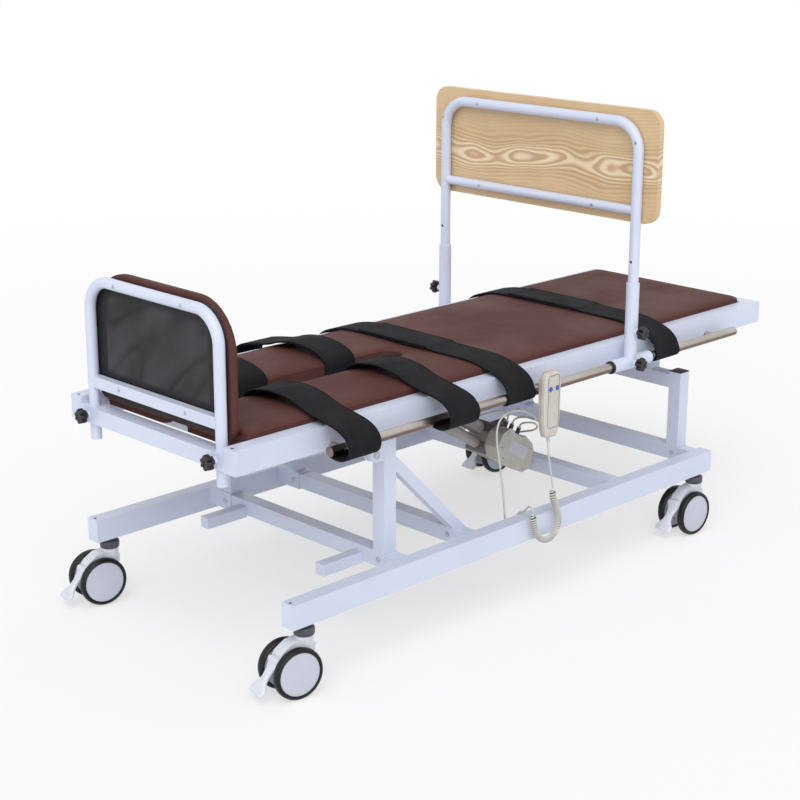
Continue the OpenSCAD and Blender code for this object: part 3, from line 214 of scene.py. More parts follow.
# handset cord and box leads: the routes are the CAD's own
cords = {
    "diameter": 0.005, "gap": 0.0003, "passes": 3, "sides": 12, "step": .006, "leastRings": 24,
    "curls": 40, "curlRadius": 0.0065, "curlEnd": 0.010, "stepsPerCurl": 16,
    # where the painted shade starts on a turn's flank, and how far it takes to grow to full
    "shadeStart": .93, "shadeSpan": .48,
    "lead": [(.886, -.375, .4057), (.886, -.375, .398), (.886, -.376, .385), (.884, -.380, .368),
             (.879, -.388, .350), (.872, -.399, .331), (.866, -.409, .312), (.864, -.413, .300),
             (.864, -.413, .2943)],
    "curl": [(.864, -.413, .294), (.864, -.413, .284), (.866, -.413, .270), (.872, -.413, .253),
             (.880, -.413, .236), (.888, -.413, .218), (.891, -.413, .200), (.887, -.413, .182),
             (.875, -.413, .168), (.858, -.413, .160), (.840, -.413, .160), (.822, -.413, .168),
             (.808, -.413, .182), (.799, -.413, .200), (.793, -.413, .218), (.790, -.413, .234),
             (.789, -.413, .244)],
    "tail": [(.789, -.413, .2443), (.789, -.413, .251), (.791, -.409, .258), (.793, -.399, .260),
             (.796, -.388, .252), (.799, -.377, .240), (.801, -.367, .234), (.803, -.359, .231),
             (.804, -.351, .226), (.804, -.348, .218), (.804, -.345, .206), (.803, -.341, .190),
             (.800, -.340, .172), (.792, -.340, .158), (.781, -.340, .154), (.772, -.340, .162),
             (.768, -.340, .178), (.766, -.340, .204), (.764, -.340, .235), (.760, -.340, .268),
             (.755, -.340, .302), (.748, -.340, .340), (.740, -.340, .378), (.733, -.340, .412),
             (.728, -.340, .444), (.730, -.340, .470), (.740, -.340, .488), (.757, -.340, .498),
             (.778, -.340, .501), (.802, -.340, .499), (.828, -.340, .492), (.852, -.338, .482),
             (.876, -.330, .470), (.900, -.314, .458), (.928, -.292, .444), (.960, -.264, .428),
             (.998, -.232, .410), (1.038, -.202, .390), (1.076, -.178, .372), (1.102, -.164, .363),
             (1.112, -.154, .360), (1.112, -.146, .360), (1.112, -.1383, .360)],
    "plugLead": [(1.112, -.138, .360), (1.112, -.130, .360), (1.112, -.112, .361), (1.111, -.092, .359),
                 (1.109, -.074, .353)],
    "motorLead": [(1.144, -.076, .332), (1.155, -.090, .333), (1.166, -.097, .325),
                  (1.172, -.092, .312), (1.172, -.074, .302), (1.168, -.054, .296), (1.162, -.036, .291)],
    "switchLead": [(.146, .060, .106), (.172, .056, .100), (.205, .046, .076), (.245, .036, .046),
                   (.290, .025, .026), (.335, .013, .019), (.375, .004, .0188), (.400, 0, .0188),
                   (.410, 0, .0188), (.4237, 0, .0188)],
}
# the drive's own line, from its base pivot, and what stands on it
drive = {"foot": (1.150, 0, .210), "slope": math.radians(30.2), "boxLength": .155, "boxDepth": .067,
         "boxThick": .050, "plugShare": (.67, .45, .84), "plugTop": .018, "gearHalf": .036,
         "castEnd": (.1505, .1525), "grommet": (.04104, .057015), "grommetOut": (-.56424, .82561),
         "grommetLength": .006, "grommetSide": .020}


def alongDrive(u, out, up):
    # u along the drive, out towards the near side, up off its line
    c, s = math.cos(drive["slope"]), math.sin(drive["slope"])
    x, y, z = drive["foot"]
    return at(x - u * c + up * s, y - out, z + u * s + up * c)


def plugEnd(i, out):
    return alongDrive(drive["plugShare"][i] * drive["boxLength"], drive["gearHalf"] + drive["boxThick"] / 2,
                      drive["boxDepth"] + drive["plugTop"] + out)


def grommetEnd(out):
    (u, v), (du, dv), reach = drive["grommet"], drive["grommetOut"], drive["grommetLength"] + out
    return alongDrive(u + du * reach, drive["grommetSide"], v + dv * reach)


def curlPoints(c):
    # the turns of the curly part, and the line that they wind round
    line = softened([at(*p) for p in c["curl"]], c["passes"])
    runs, out, core = runsOf(line), [], []
    total = runs[-1]
    beforeEnd = total - 1e-9

    def spot(s):
        j = max([k for k in range(len(runs) - 1) if runs[k] <= s] or [0])
        return line[j].lerp(line[j + 1], (s - runs[j]) / (runs[j + 1] - runs[j]))

    pitch = (total - 2 * c["curlEnd"]) / c["curls"]
    steps = (c["curls"] + 2) * c["stepsPerCurl"]
    for i in range(steps + 1):
        s = min(total * i / steps, beforeEnd)
        run = (spot(min(s + c["diameter"], beforeEnd)) - spot(max(s - c["diameter"], 0))).normalized()
        side = Vector((0, 1, 0))
        up = run.cross(side)
        grow = min(1, max(0, min(s, total - s) - c["diameter"]) / c["diameter"])
        a = 2 * math.pi * (s - c["curlEnd"]) / pitch
        core.append(spot(s))
        out.append(core[-1] + (side * math.cos(a) + up * math.sin(a)) * c["curlRadius"] * grow)
    return out, core


def markCurlShade(piece, line, core, c):
    # painted shade: a mask that rises from the outside of a turn to its flanks, which lie in the next turn's shade
    radius, sides = c["diameter"] / 2, c["sides"]
    paintedShade = [0.0] * len(piece.data.vertices)
    for i, (centre, spot) in enumerate(zip(line, core)):
        out = centre - spot
        if out.length > radius / 2:
            for k in range(i * sides, (i + 1) * sides):
                facing = (piece.data.vertices[k].co - centre).dot(out.normalized()) / radius
                paintedShade[k] = min(1, max(0, (c["shadeStart"] - facing) / c["shadeSpan"]))
    storeValues(piece, "paintedShade", paintedShade)


def makeCords(c):
    straight, gap = 2 * c["diameter"], c["gap"]
    route = {k: [at(*p) for p in c[k]] for k in ("lead", "tail", "plugLead", "motorLead")}
    route["plugLead"] += [plugEnd(0, straight), plugEnd(0, gap)]
    route["motorLead"] = ([plugEnd(1, gap), plugEnd(1, straight)] + route["motorLead"]
                          + [grommetEnd(straight), grommetEnd(gap)])
    route["switchLead"] = [plugEnd(2, gap), plugEnd(2, straight)] + [alongDrive(*p) for p in c["switchLead"]]
    route = {k: softened(points, c["passes"]) for k, points in route.items()}
    route["curl"], core = curlPoints(c)
    made = {}
    names = {"lead": "handset_lead", "curl": "curly_cord", "tail": "cord_tail_run", "plugLead": "plug_lead",
             "motorLead": "motor_lead", "switchLead": "switch_lead"}
    for key, name in names.items():
        if key != "curl":
            rings = max(c["leastRings"], int(lengthOf(route[key]) / c["step"]))
            route[key] = evenly(route[key], rings)
        made[key] = tubePiece(name, route[key], c["diameter"] / 2, c["sides"])
    markCurlShade(made["curl"], route["curl"], core, c)
    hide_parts("cord_lead")
    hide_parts("cord_curl")
    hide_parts("cord_tail")
    for key in ("plugLead", "motorLead", "switchLead"):
        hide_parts("box_leads")
        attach(made[key], "drive")
    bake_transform(made["lead"])
    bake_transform(made["curl"])
    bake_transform(made["tail"])
    for key in names:
        print("cord", key, round(lengthOf(route[key]), 4), "m")
    return made


cordPieces = makeCords(cords)


# shader helpers
def linear(r, g, b):
    parts = [v / 255 for v in (r, g, b)]
    return tuple(p / 12.92 if p <= .04045 else ((p + .055) / 1.055) ** 2.4 for p in parts) + (1,)


def put(tree, kind, links=None, **settings):
    node = tree.nodes.new(kind)
    for key, value in settings.items():
        setattr(node, key, value)
    for key, value in (links or {}).items():
        if isinstance(value, bpy.types.NodeSocket):
            tree.links.new(value, node.inputs[key])
        else:
            node.inputs[key].default_value = value
    return node


def calc(tree, operation, *values):
    return put(tree, "ShaderNodeMath", dict(enumerate(values)), operation=operation).outputs[0]


def ramp(tree, value, low, high, toLow=0.0, toHigh=1.0):
    return put(tree, "ShaderNodeMapRange", {"Value": value, "From Min": low, "From Max": high,
                                            "To Min": toLow, "To Max": toHigh},
               interpolation_type="SMOOTHSTEP").outputs["Result"]


def blendOf(tree, share, a, b):
    return put(tree, "ShaderNodeMix", {0: share, 6: a, 7: b}, data_type="RGBA").outputs[2]


def startGroup(name, inputs, outputs):
    group = bpy.data.node_groups.new(name, "ShaderNodeTree")
    for label, kind, value in inputs:
        socket = group.interface.new_socket(name=label, in_out="INPUT", socket_type=kind)
        if value is not None:
            socket.default_value = value
    for label, kind in outputs:
        group.interface.new_socket(name=label, in_out="OUTPUT", socket_type=kind)
    return group, group.nodes.new("NodeGroupInput").outputs, group.nodes.new("NodeGroupOutput").inputs


floatKind, vectorKind = "NodeSocketFloat", "NodeSocketVector"
placeIn = ("Place", vectorKind, None)


# effects shared by the materials
def makeUneven():
    # broad soft patches, for handling, dust and dye
    group, given, result = startGroup("unevenTone", [placeIn, ("Scale", floatKind, 3.0)],
                                      [("Mask", floatKind)])
    broad = put(group, "ShaderNodeTexNoise", {"Vector": given["Place"], "Scale": given["Scale"],
                                              "Detail": 5.0, "Roughness": .62})
    group.links.new(ramp(group, broad.outputs["Fac"], .3, .7), result["Mask"])
    return group


def makeTooth():
    # the fine orange peel of powder coat and the tooth of moulded plastic
    group, given, result = startGroup("surfaceTooth", [placeIn, ("Scale", floatKind, 600.0)],
                                      [("Height", floatKind)])
    fine = put(group, "ShaderNodeTexNoise", {"Vector": given["Place"], "Scale": given["Scale"],
                                             "Detail": 2.0, "Roughness": .5})
    group.links.new(fine.outputs["Fac"], result["Height"])
    return group


def makeLeatherGrain():
    # pebbles with creases between them, pulled out of line by a slower noise; a second output masks the creases
    # for painted shade
    group, given, result = startGroup("leatherGrain", [placeIn, ("Scale", floatKind, 420.0)],
                                      [("Height", floatKind), ("CreaseShade", floatKind)])
    slow = put(group, "ShaderNodeTexNoise", {"Vector": given["Place"], "Scale": 60.0, "Detail": 2.0})
    shift = put(group, "ShaderNodeVectorMath", {0: slow.outputs["Color"], "Scale": .004}, operation="SCALE")
    moved = put(group, "ShaderNodeVectorMath", {0: given["Place"], 1: shift.outputs[0]}, operation="ADD")
    cells = put(group, "ShaderNodeTexVoronoi", {"Vector": moved.outputs[0], "Scale": given["Scale"]},
                feature="DISTANCE_TO_EDGE")
    pebble = ramp(group, cells.outputs["Distance"], 0.0, .22)
    # painted shade: the mask is full in the creases and empty on the pebbles
    creaseShade = calc(group, "SUBTRACT", 1.0, pebble)
    fine = put(group, "ShaderNodeTexNoise", {"Vector": moved.outputs[0], "Scale": 900.0, "Detail": 3.0})
    group.links.new(calc(group, "MULTIPLY_ADD", fine.outputs["Fac"], .25, pebble), result["Height"])
    group.links.new(creaseShade, result["CreaseShade"])
    return group


def makeWeave():
    # over-and-under threads from two crossed waves; Place is in metres, Pitch is threads per metre
    group, given, result = startGroup("threadWeave", [placeIn, ("Pitch", floatKind, 900.0)],
                                      [("Height", floatKind), ("Gap", floatKind)])
    size = put(group, "ShaderNodeVectorMath", {0: given["Place"], "Scale": given["Pitch"]},
               operation="SCALE")
    parts = put(group, "ShaderNodeSeparateXYZ", {0: size.outputs[0]}).outputs
    waves = [calc(group, "SINE", calc(group, "MULTIPLY", parts[k], math.pi)) for k in (0, 1)]
    crossed = calc(group, "MULTIPLY", waves[0], waves[1])
    threads = calc(group, "MAXIMUM", *(calc(group, "ABSOLUTE", wave) for wave in waves))
    group.links.new(calc(group, "MULTIPLY_ADD", crossed, .35, threads), result["Height"])
    # painted shade in the gaps between the threads
    group.links.new(ramp(group, threads, .75, .35), result["Gap"])
    return group


def makeWood():
    # Place has the grain along X and the width of the board along Y, both in metres: straight lines that
    # part round a wandering heart, where slow swells close them into loops
    group, given, result = startGroup("woodFigure",
                                      [placeIn, ("Swell", floatKind, .055), ("Pitch", floatKind, 75.0)],
                                      [("Line", floatKind), ("Heart", floatKind), ("Pore", floatKind)])

    def stretched(x, y, detail):
        size = put(group, "ShaderNodeVectorMath", {0: given["Place"], 1: (x, y, x)}, operation="MULTIPLY")
        return put(group, "ShaderNodeTexNoise", {"Vector": size.outputs[0], "Scale": 1.0, "Detail": detail,
                                                 "Roughness": .55}).outputs["Fac"]

    across = put(group, "ShaderNodeSeparateXYZ", {0: given["Place"]}).outputs[1]
    wander = calc(group, "MULTIPLY_ADD", stretched(2.6, .5, 1.0), .10, -.05)
    centred = calc(group, "ADD", across, wander)
    away = calc(group, "SQRT", calc(group, "MULTIPLY_ADD", centred, centred, .0001))
    near = ramp(group, away, .090, .010)
    swell = calc(group, "MULTIPLY", calc(group, "MULTIPLY_ADD", stretched(6.4, 14.0, .6), 1.0, -.5), near)
    radius = calc(group, "MULTIPLY_ADD", swell, given["Swell"], away)
    dense = calc(group, "MULTIPLY_ADD", calc(group, "MULTIPLY", radius, radius), 4.0, radius)
    ragged = calc(group, "MULTIPLY", stretched(9.0, 170.0, 3.0), ramp(group, away, .020, .075, .08, .50))
    rings = calc(group, "MULTIPLY_ADD", dense, given["Pitch"], ragged)
    saw = calc(group, "FRACT", rings)
    late = calc(group, "MULTIPLY", ramp(group, saw, .14, .66), ramp(group, saw, 1.0, .78))
    depth = calc(group, "MULTIPLY_ADD", ramp(group, away, .085, .030), .78, .22)
    group.links.new(calc(group, "MULTIPLY", late, depth), result["Line"])
    group.links.new(ramp(group, radius, .048, .010), result["Heart"])
    group.links.new(ramp(group, stretched(14.0, 850.0, 3.0), .50, .74), result["Pore"])
    return group


def makeBrushed():
    # drawn lines along X
    group, given, result = startGroup("drawnMetal", [placeIn], [("Streak", floatKind)])
    wide = put(group, "ShaderNodeVectorMath", {0: given["Place"], 1: (6.0, 1400.0, 1400.0)},
               operation="MULTIPLY")
    lines = put(group, "ShaderNodeTexNoise", {"Vector": wide.outputs[0], "Scale": 1.0, "Detail": 3.0})
    group.links.new(lines.outputs["Fac"], result["Streak"])
    return group


effects = {"uneven": makeUneven(), "tooth": makeTooth(), "leather": makeLeatherGrain(), "weave": makeWeave(),
           "wood": makeWood(), "brushed": makeBrushed()}
print("effects ready:", ", ".join(sorted(effects)))


def useEffect(tree, name, **given):
    node = tree.nodes.new("ShaderNodeGroup")
    node.node_tree = effects[name]
    for key, value in given.items():
        if isinstance(value, bpy.types.NodeSocket):
            tree.links.new(value, node.inputs[key])
        else:
            node.inputs[key].default_value = value
    return node.outputs


def startMaterial(name, **fixed):
    # fixed numbers go straight onto the shader's own sockets
    made = bpy.data.materials.new(name)
    made.use_nodes = True
    tree = made.node_tree
    shader = tree.nodes["Principled BSDF"]
    for key, value in fixed.items():
        shader.inputs[key.replace("_", " ")].default_value = value
    place = put(tree, "ShaderNodeTexCoord").outputs["Object"]
    return made, tree, shader.inputs, place


def roughen(tree, shader, mask, low, high):
    spread = put(tree, "ShaderNodeMapRange", {"Value": mask, "To Min": low, "To Max": high})
    tree.links.new(spread.outputs[0], shader["Roughness"])


def raised(tree, shader, height, strength, distance):
    bump = put(tree, "ShaderNodeBump", {"Strength": strength, "Distance": distance, "Height": height})
    tree.links.new(bump.outputs["Normal"], shader["Normal"])


def twoTones(tree, mask, tone, shade):
    return blendOf(tree, mask, linear(*tone), linear(*shade))


def evenFinish(name, spec):
    # paint, moulded plastic and rubber: two tones in patches, uneven gloss and a fine tooth; where a piece
    # stores a mask of painted shade, the tone darkens there towards a shade colour
    made, tree, shader, place = startMaterial(name, **spec.get("fixed", {}))
    mask = useEffect(tree, "uneven", Place=place, Scale=spec["patch"])["Mask"]
    toned = twoTones(tree, mask, spec["tone"], spec["shade"])
    if "paintedShade" in spec:
        paintedShade = put(tree, "ShaderNodeAttribute", attribute_name="paintedShade").outputs["Fac"]
        toned = blendOf(tree, paintedShade, toned, linear(*spec["paintedShade"]))
    tree.links.new(toned, shader["Base Color"])
    roughen(tree, shader, mask, *spec["rough"])
    tooth = useEffect(tree, "tooth", Place=place, Scale=spec["tooth"])["Height"]
    raised(tree, shader, tooth, spec["relief"], .0004)
    return made


evenSpecs = {
    "whitePowderCoat": dict(tone=(212, 218, 236), shade=(207, 213, 232), patch=2.4, rough=(.30, .42),
                            tooth=520.0, relief=.10),
    "blackCapPlastic": dict(tone=(30, 30, 32), shade=(38, 38, 40), patch=30.0, rough=(.42, .55),
                            tooth=1500.0, relief=.25),
    "greyCollarPlastic": dict(tone=(76, 77, 86), shade=(66, 67, 76), patch=22.0, rough=(.38, .50),
                              tooth=1500.0, relief=.20),
    "blackNylon": dict(tone=(34, 34, 36), shade=(42, 42, 44), patch=20.0, rough=(.45, .58), tooth=1500.0,
                       relief=.2),
    "knobPlastic": dict(tone=(17, 17, 19), shade=(26, 26, 28), patch=45.0, rough=(.30, .46), tooth=1700.0,
                        relief=.22),
    "casterWhite": dict(tone=(222, 224, 232), shade=(210, 212, 222), patch=16.0, rough=(.34, .46),
                        tooth=1300.0, relief=.12),
    "wheelDisc": dict(tone=(196, 198, 211), shade=(190, 192, 206), patch=10.0, rough=(.36, .46),
                      tooth=1300.0, relief=.05),
    "tyreRubber": dict(tone=(15, 15, 16), shade=(23, 22, 23), patch=26.0, rough=(.34, .50), tooth=1100.0,
                       relief=.35, fixed={"Specular_IOR_Level": .30}),
    "buttonBlue": dict(tone=(52, 88, 200), shade=(44, 76, 182), patch=120.0, rough=(.28, .38), tooth=2200.0,
                       relief=.1),
    "buttonMark": dict(tone=(120, 142, 216), shade=(108, 130, 206), patch=120.0, rough=(.40, .50),
                       tooth=2200.0, relief=.1),
    "panelViolet": dict(tone=(96, 92, 150), shade=(86, 82, 140), patch=60.0, rough=(.40, .52),
                        tooth=2200.0, relief=.1),
    "panelFilm": dict(tone=(203, 199, 188), shade=(194, 190, 180), patch=28.0, rough=(.40, .52),
                      tooth=2400.0, relief=.3),
    "cordSheath": dict(tone=(204, 203, 196), shade=(188, 187, 180), patch=24.0, rough=(.46, .60),
                       tooth=1800.0, relief=.2),
    # the curly cord's darkest colour is painted shade, on the flanks of its turns
    "curlSheath": dict(tone=(232, 231, 224), shade=(220, 219, 212), paintedShade=(104, 102, 98), patch=24.0,
                       rough=(.46, .60), tooth=1800.0, relief=.2),
    "plugRubber": dict(tone=(58, 58, 58), shade=(72, 71, 70), patch=50.0, rough=(.50, .64), tooth=1600.0,
                       relief=.3),
    "boxPlastic": dict(tone=(200, 196, 186), shade=(188, 184, 174), patch=14.0, rough=(.42, .55),
                       tooth=1500.0, relief=.3),
    "labelPlate": dict(tone=(206, 206, 212), shade=(198, 198, 206), patch=20.0, rough=(.34, .44),
                       tooth=2400.0, relief=.1),
    "screwBlack": dict(tone=(40, 40, 42), shade=(52, 52, 54), patch=90.0, rough=(.34, .48), tooth=2000.0,
                       relief=.1),
}
finishes = {key: evenFinish(key, spec) for key, spec in evenSpecs.items()}


def metalFinish(name, spec):
    made, tree, shader, place = startMaterial(name, Metallic=1.0)
    streak = useEffect(tree, "brushed", Place=place)["Streak"]
    mask = useEffect(tree, "uneven", Place=place, Scale=spec["patch"])["Mask"]
    toned = twoTones(tree, mask, spec["tone"], spec["shade"])
    if "underReflection" in spec:
        # painted reflection: the underside is darker and browner, as if it mirrored a darker room below
        normal = put(tree, "ShaderNodeTexCoord").outputs["Normal"]
        upward = put(tree, "ShaderNodeSeparateXYZ", {0: normal}).outputs[2]
        toned = blendOf(tree, ramp(tree, upward, .42, -.18), toned, linear(*spec["underReflection"]))
    tree.links.new(toned, shader["Base Color"])
    roughen(tree, shader, streak, *spec["rough"])
    raised(tree, shader, streak, spec["relief"], .0002)
    return made


metalSpecs = {
    # the rail's browner underside colour is a painted reflection
    "stainlessRail": dict(tone=(196, 188, 183), shade=(176, 167, 162), underReflection=(122, 101, 93), patch=5.0,
                          rough=(.22, .36), relief=.10),
    "zincScrew": dict(tone=(196, 198, 204), shade=(170, 172, 180), patch=60.0, rough=(.22, .40), relief=.12),
    "chromeRod": dict(tone=(214, 214, 216), shade=(204, 204, 208), patch=9.0, rough=(.07, .14), relief=.03),
}
for key, spec in metalSpecs.items():
    finishes[key] = metalFinish(key, spec)


def leatherFinish():
    spec = {"tone": (97, 62, 58), "shade": (88, 54, 51), "creaseShade": (60, 36, 34), "rough": (.52, .68)}
    made, tree, shader, place = startMaterial("brownLeather", Specular_IOR_Level=.12)
    mask = useEffect(tree, "uneven", Place=place, Scale=4.0)["Mask"]
    grain = useEffect(tree, "leather", Place=place, Scale=430.0)
    toned = twoTones(tree, mask, spec["tone"], spec["shade"])
    # painted shade: the creases between the pebbles darken towards the darkest colour
    paintedShade = calc(tree, "MULTIPLY", grain["CreaseShade"], .35)
    tree.links.new(blendOf(tree, paintedShade, toned, linear(*spec["creaseShade"])), shader["Base Color"])
    roughen(tree, shader, mask, *spec["rough"])
    raised(tree, shader, grain["Height"], .28, .0005)
    return made


def clothFinish(name, spec):
    # "lay" holds the cloth's own flat place; where there are folds, a painted sheen lightens their tops
    made, tree, shader, _ = startMaterial(name, Specular_IOR_Level=spec["gloss"])
    place = put(tree, "ShaderNodeAttribute", attribute_name="lay").outputs["Vector"]
    weave = useEffect(tree, "weave", Place=place, Pitch=spec["pitch"])
    mask = useEffect(tree, "uneven", Place=place, Scale=spec["patch"])["Mask"]
    toned = twoTones(tree, mask, spec["tone"], spec["shade"])
    if "crestSheen" in spec:
        crestSheen = put(tree, "ShaderNodeAttribute", attribute_name="crestSheen").outputs["Fac"]
        toned = blendOf(tree, crestSheen, toned, linear(*spec["crestSheen"]))
    # painted shade: the gaps between the threads darken towards the gap colour
    paintedShade = calc(tree, "MULTIPLY", weave["Gap"], spec["depth"])
    tree.links.new(blendOf(tree, paintedShade, toned, linear(*spec["gap"])), shader["Base Color"])
    roughen(tree, shader, mask, *spec["rough"])
    raised(tree, shader, weave["Height"], spec["relief"], .0006)
    return made


def woodFinish(name, spec):
    made, tree, shader, place = startMaterial(name, Coat_Weight=spec["coat"], Coat_Roughness=.22)
    turned = put(tree, "ShaderNodeVectorRotate", {"Vector": place, "Rotation": spec["turn"]},
                 rotation_type="EULER_XYZ")
    moved = put(tree, "ShaderNodeVectorMath", {0: turned.outputs[0], 1: spec["shift"]}, operation="ADD")
    figure = useEffect(tree, "wood", Place=moved.outputs[0], Swell=spec["swell"], Pitch=spec["pitch"])
    mask = useEffect(tree, "uneven", Place=moved.outputs[0], Scale=6.0)["Mask"]
    toned = twoTones(tree, mask, spec["tone"], spec["shade"])
    layers = (("Heart", .8, "heart"), ("Line", spec["lines"], "line"), ("Pore", .32, "pore"))
    for output, share, tone in layers:
        strength = calc(tree, "MULTIPLY", figure[output], share)
        toned = blendOf(tree, strength, toned, linear(*spec[tone]))
    tree.links.new(toned, shader["Base Color"])
    roughen(tree, shader, mask, .36, .48)
    raised(tree, shader, calc(tree, "ADD", figure["Pore"], figure["Line"]), -.12, .0003)
    return made


def driveFinish():
    # one CAD solid: cast gear case at the low end, painted tube and motor beyond it
    made, tree, shader, place = startMaterial("drivePaint", Metallic=.25)
    line, foot = (-math.cos(drive["slope"]), 0, math.sin(drive["slope"])), tuple(at(*drive["foot"]))
    off = put(tree, "ShaderNodeVectorMath", {0: place, 1: foot}, operation="SUBTRACT").outputs[0]
    along = put(tree, "ShaderNodeVectorMath", {0: off, 1: line}, operation="DOT_PRODUCT").outputs["Value"]
    beyond = ramp(tree, along, *drive["castEnd"])
    mask = useEffect(tree, "uneven", Place=place, Scale=14.0)["Mask"]
    cast = twoTones(tree, mask, (122, 116, 112), (104, 98, 95))
    painted = twoTones(tree, mask, (172, 167, 164), (156, 151, 148))
    tree.links.new(blendOf(tree, beyond, cast, painted), shader["Base Color"])
    roughen(tree, shader, mask, .40, .54)
    tooth = useEffect(tree, "tooth", Place=place, Scale=700.0)["Height"]
    raised(tree, shader, tooth, .25, .0005)
    return made


def handsetFinish():
    # a pale front shell and a darker back shell, with the seam between them
    made, tree, shader, place = startMaterial("handsetPlastic")
    y = put(tree, "ShaderNodeSeparateXYZ", {0: place}).outputs[1]
    seam = at(0, -.3735, 0)[1]
    back = ramp(tree, y, seam - .0003, seam + .0003)
    line = calc(tree, "MULTIPLY", ramp(tree, y, seam - .0010, seam - .0005),
                ramp(tree, y, seam + .0006, seam))
    mask = useEffect(tree, "uneven", Place=place, Scale=30.0)["Mask"]
    front = twoTones(tree, mask, (206, 200, 191), (196, 190, 181))
    rear = twoTones(tree, mask, (186, 177, 168), (174, 166, 158))
    shells = blendOf(tree, back, front, rear)
    tree.links.new(blendOf(tree, line, shells, linear(120, 112, 106)), shader["Base Color"])
    roughen(tree, shader, mask, .38, .50)
    tooth = useEffect(tree, "tooth", Place=place, Scale=1800.0)["Height"]
    raised(tree, shader, tooth, .25, .0004)
    return made


finishes["brownLeather"] = leatherFinish()
# each cloth's darkest colour is painted shade between its threads
finishes["strapCloth"] = clothFinish("strapCloth", dict(
    tone=(33, 33, 37), shade=(27, 27, 30), gap=(13, 13, 15), pitch=620.0, patch=9.0, depth=.5, gloss=.12,
    rough=(.70, .84), relief=.5))
# the backing's lightest colour is a painted sheen on the tops of its folds
finishes["backingCloth"] = clothFinish("backingCloth", dict(
    tone=(34, 33, 37), shade=(27, 26, 30), gap=(16, 16, 18), crestSheen=(60, 60, 65), pitch=520.0, patch=7.0,
    depth=.35, gloss=.30, rough=(.46, .60), relief=.3))
finishes["ashVeneer"] = woodFinish("ashVeneer", dict(
    tone=(222, 193, 152), shade=(213, 182, 140), heart=(243, 224, 190), line=(186, 145, 100),
    pore=(190, 153, 110), lines=.80, turn=(0, math.radians(90), math.radians(90)), shift=(.05, -1.052, 0),
    swell=.125, pitch=58.0, coat=.25))
finishes["birchPlywood"] = woodFinish("birchPlywood", dict(
    tone=(206, 174, 132), shade=(196, 162, 120), heart=(214, 184, 142), line=(176, 138, 96),
    pore=(168, 130, 92), lines=.5, turn=(0, 0, 0), shift=(0, .2, 0), swell=.06, pitch=40.0, coat=0.0))
finishes["drivePaint"] = driveFinish()
finishes["handsetPlastic"] = handsetFinish()
print("finishes ready:", len(finishes))


# CAD nodes that show: finish, softened edges and smooth curves
softening = {"weld": 2e-5, "flat": math.radians(.4), "sharp": math.radians(35), "gentle": math.radians(32)}


def makeRounding():
    # shades smooth wherever two faces meet at a small angle
    group = bpy.data.node_groups.new("smoothByAngle", "GeometryNodeTree")
    group.interface.new_socket(name="Geometry", in_out="INPUT", socket_type="NodeSocketGeometry")
    group.interface.new_socket(name="Geometry", in_out="OUTPUT", socket_type="NodeSocketGeometry")
    given, result = group.nodes.new("NodeGroupInput"), group.nodes.new("NodeGroupOutput")
    angle = group.nodes.new("GeometryNodeInputMeshEdgeAngle").outputs["Unsigned Angle"]
    gentle = put(group, "FunctionNodeCompare", {0: angle, 1: softening["gentle"]},
                 operation="LESS_THAN").outputs[0]
    faces = put(group, "GeometryNodeSetShadeSmooth", {"Geometry": given.outputs[0]}, domain="FACE")
    edges = put(group, "GeometryNodeSetShadeSmooth", {"Geometry": faces.outputs[0], "Shade Smooth": gentle},
                domain="EDGE")
    group.links.new(edges.outputs[0], result.inputs[0])
    return group


rounding = makeRounding()


def smoothCurves(piece):
    piece.modifiers.new("smoothCurves", "NODES").node_group = rounding


def closeSeams(piece, reach):
    piece.modifiers.new("weld", "WELD").merge_threshold = reach


def flatten(piece):
    # large faces keep their own shading beside a narrow bevel
    even = piece.modifiers.new("evenShading", "WEIGHTED_NORMAL")
    even.mode, even.weight, even.keep_sharp = "FACE_AREA", 50, True


def dress(names, finish, edge=.0008, steps=2):
    for name in names.split():
        node = frame["nodes"][name]
        if not node.material_slots:
            node.data.materials.append(None)
        for place in node.material_slots:
            place.material = finishes[finish]
        closeSeams(node, softening["weld"])
        flats = node.modifiers.new("joinFlats", "DECIMATE")
        flats.decimate_type, flats.angle_limit = "DISSOLVE", softening["flat"]
        if edge:
            bevel = node.modifiers.new("softEdge", "BEVEL")
            bevel.width, bevel.segments, bevel.limit_method = edge, steps, "ANGLE"
            bevel.angle_limit, bevel.miter_outer = softening["sharp"], "MITER_ARC"
            bevel.use_clamp_overlap = True
        smoothCurves(node)
        flatten(node)


dress("base_rails couch_rails", "whitePowderCoat", .0035, 3)
dress("base_crossmembers crossmember_brackets stop_pegs pivot_frame pivot_ears head_frame couch_cross_tubes",
      "whitePowderCoat", .0015)
dress("drive_bracket pivot_lugs lift_bracket footboard_frame tray_frame tray_sockets", "whitePowderCoat")
dress("crossmember_bolts pivot_bolts footboard_screws tray_screws", "zincScrew", .0004)
dress("post_caps", "blackCapPlastic", .001)
dress("caster_stems", "greyCollarPlastic")
dress("side_rails", "stainlessRail", .0006)
dress("mattress_board", "birchPlywood", .0006)
dress("tray_board", "ashVeneer", .003, 4)
dress("tray_bushes", "blackNylon")
dress("drive_housing", "drivePaint", .0015)
dress("control_box", "boxPlastic", .0012)
dress("drive_rod", "chromeRod", .0006)
dress("handset_shell", "handsetPlastic", .0012, 3)
for i in (1, 2, 3, 4):
    dress(f"caster_fork_{i}", "casterWhite", .0018, 3)
print("frame dressed")


def finishPiece(piece, finish, body, slot, *replaced):
    piece.data.materials.append(finishes[finish])
    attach(piece, body)
    if replaced:
        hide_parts(*replaced)


for key, piece in cordPieces.items():
    piece.data.materials.append(finishes["curlSheath" if key == "curl" else "cordSheath"])


# padded pieces: an outline stepped inward ring by ring, then a flat grid that the crown lifts
def between(profile, reach):
    # height of the pad at a distance in from its outline
    for (a, h), (b, k) in zip(profile, profile[1:]):
        if reach <= b:
            t = (reach - a) / (b - a)
            return h + (k - h) * t * (1.5 - .5 * t if b == profile[-1][0] else 1)
    return profile[-1][1]


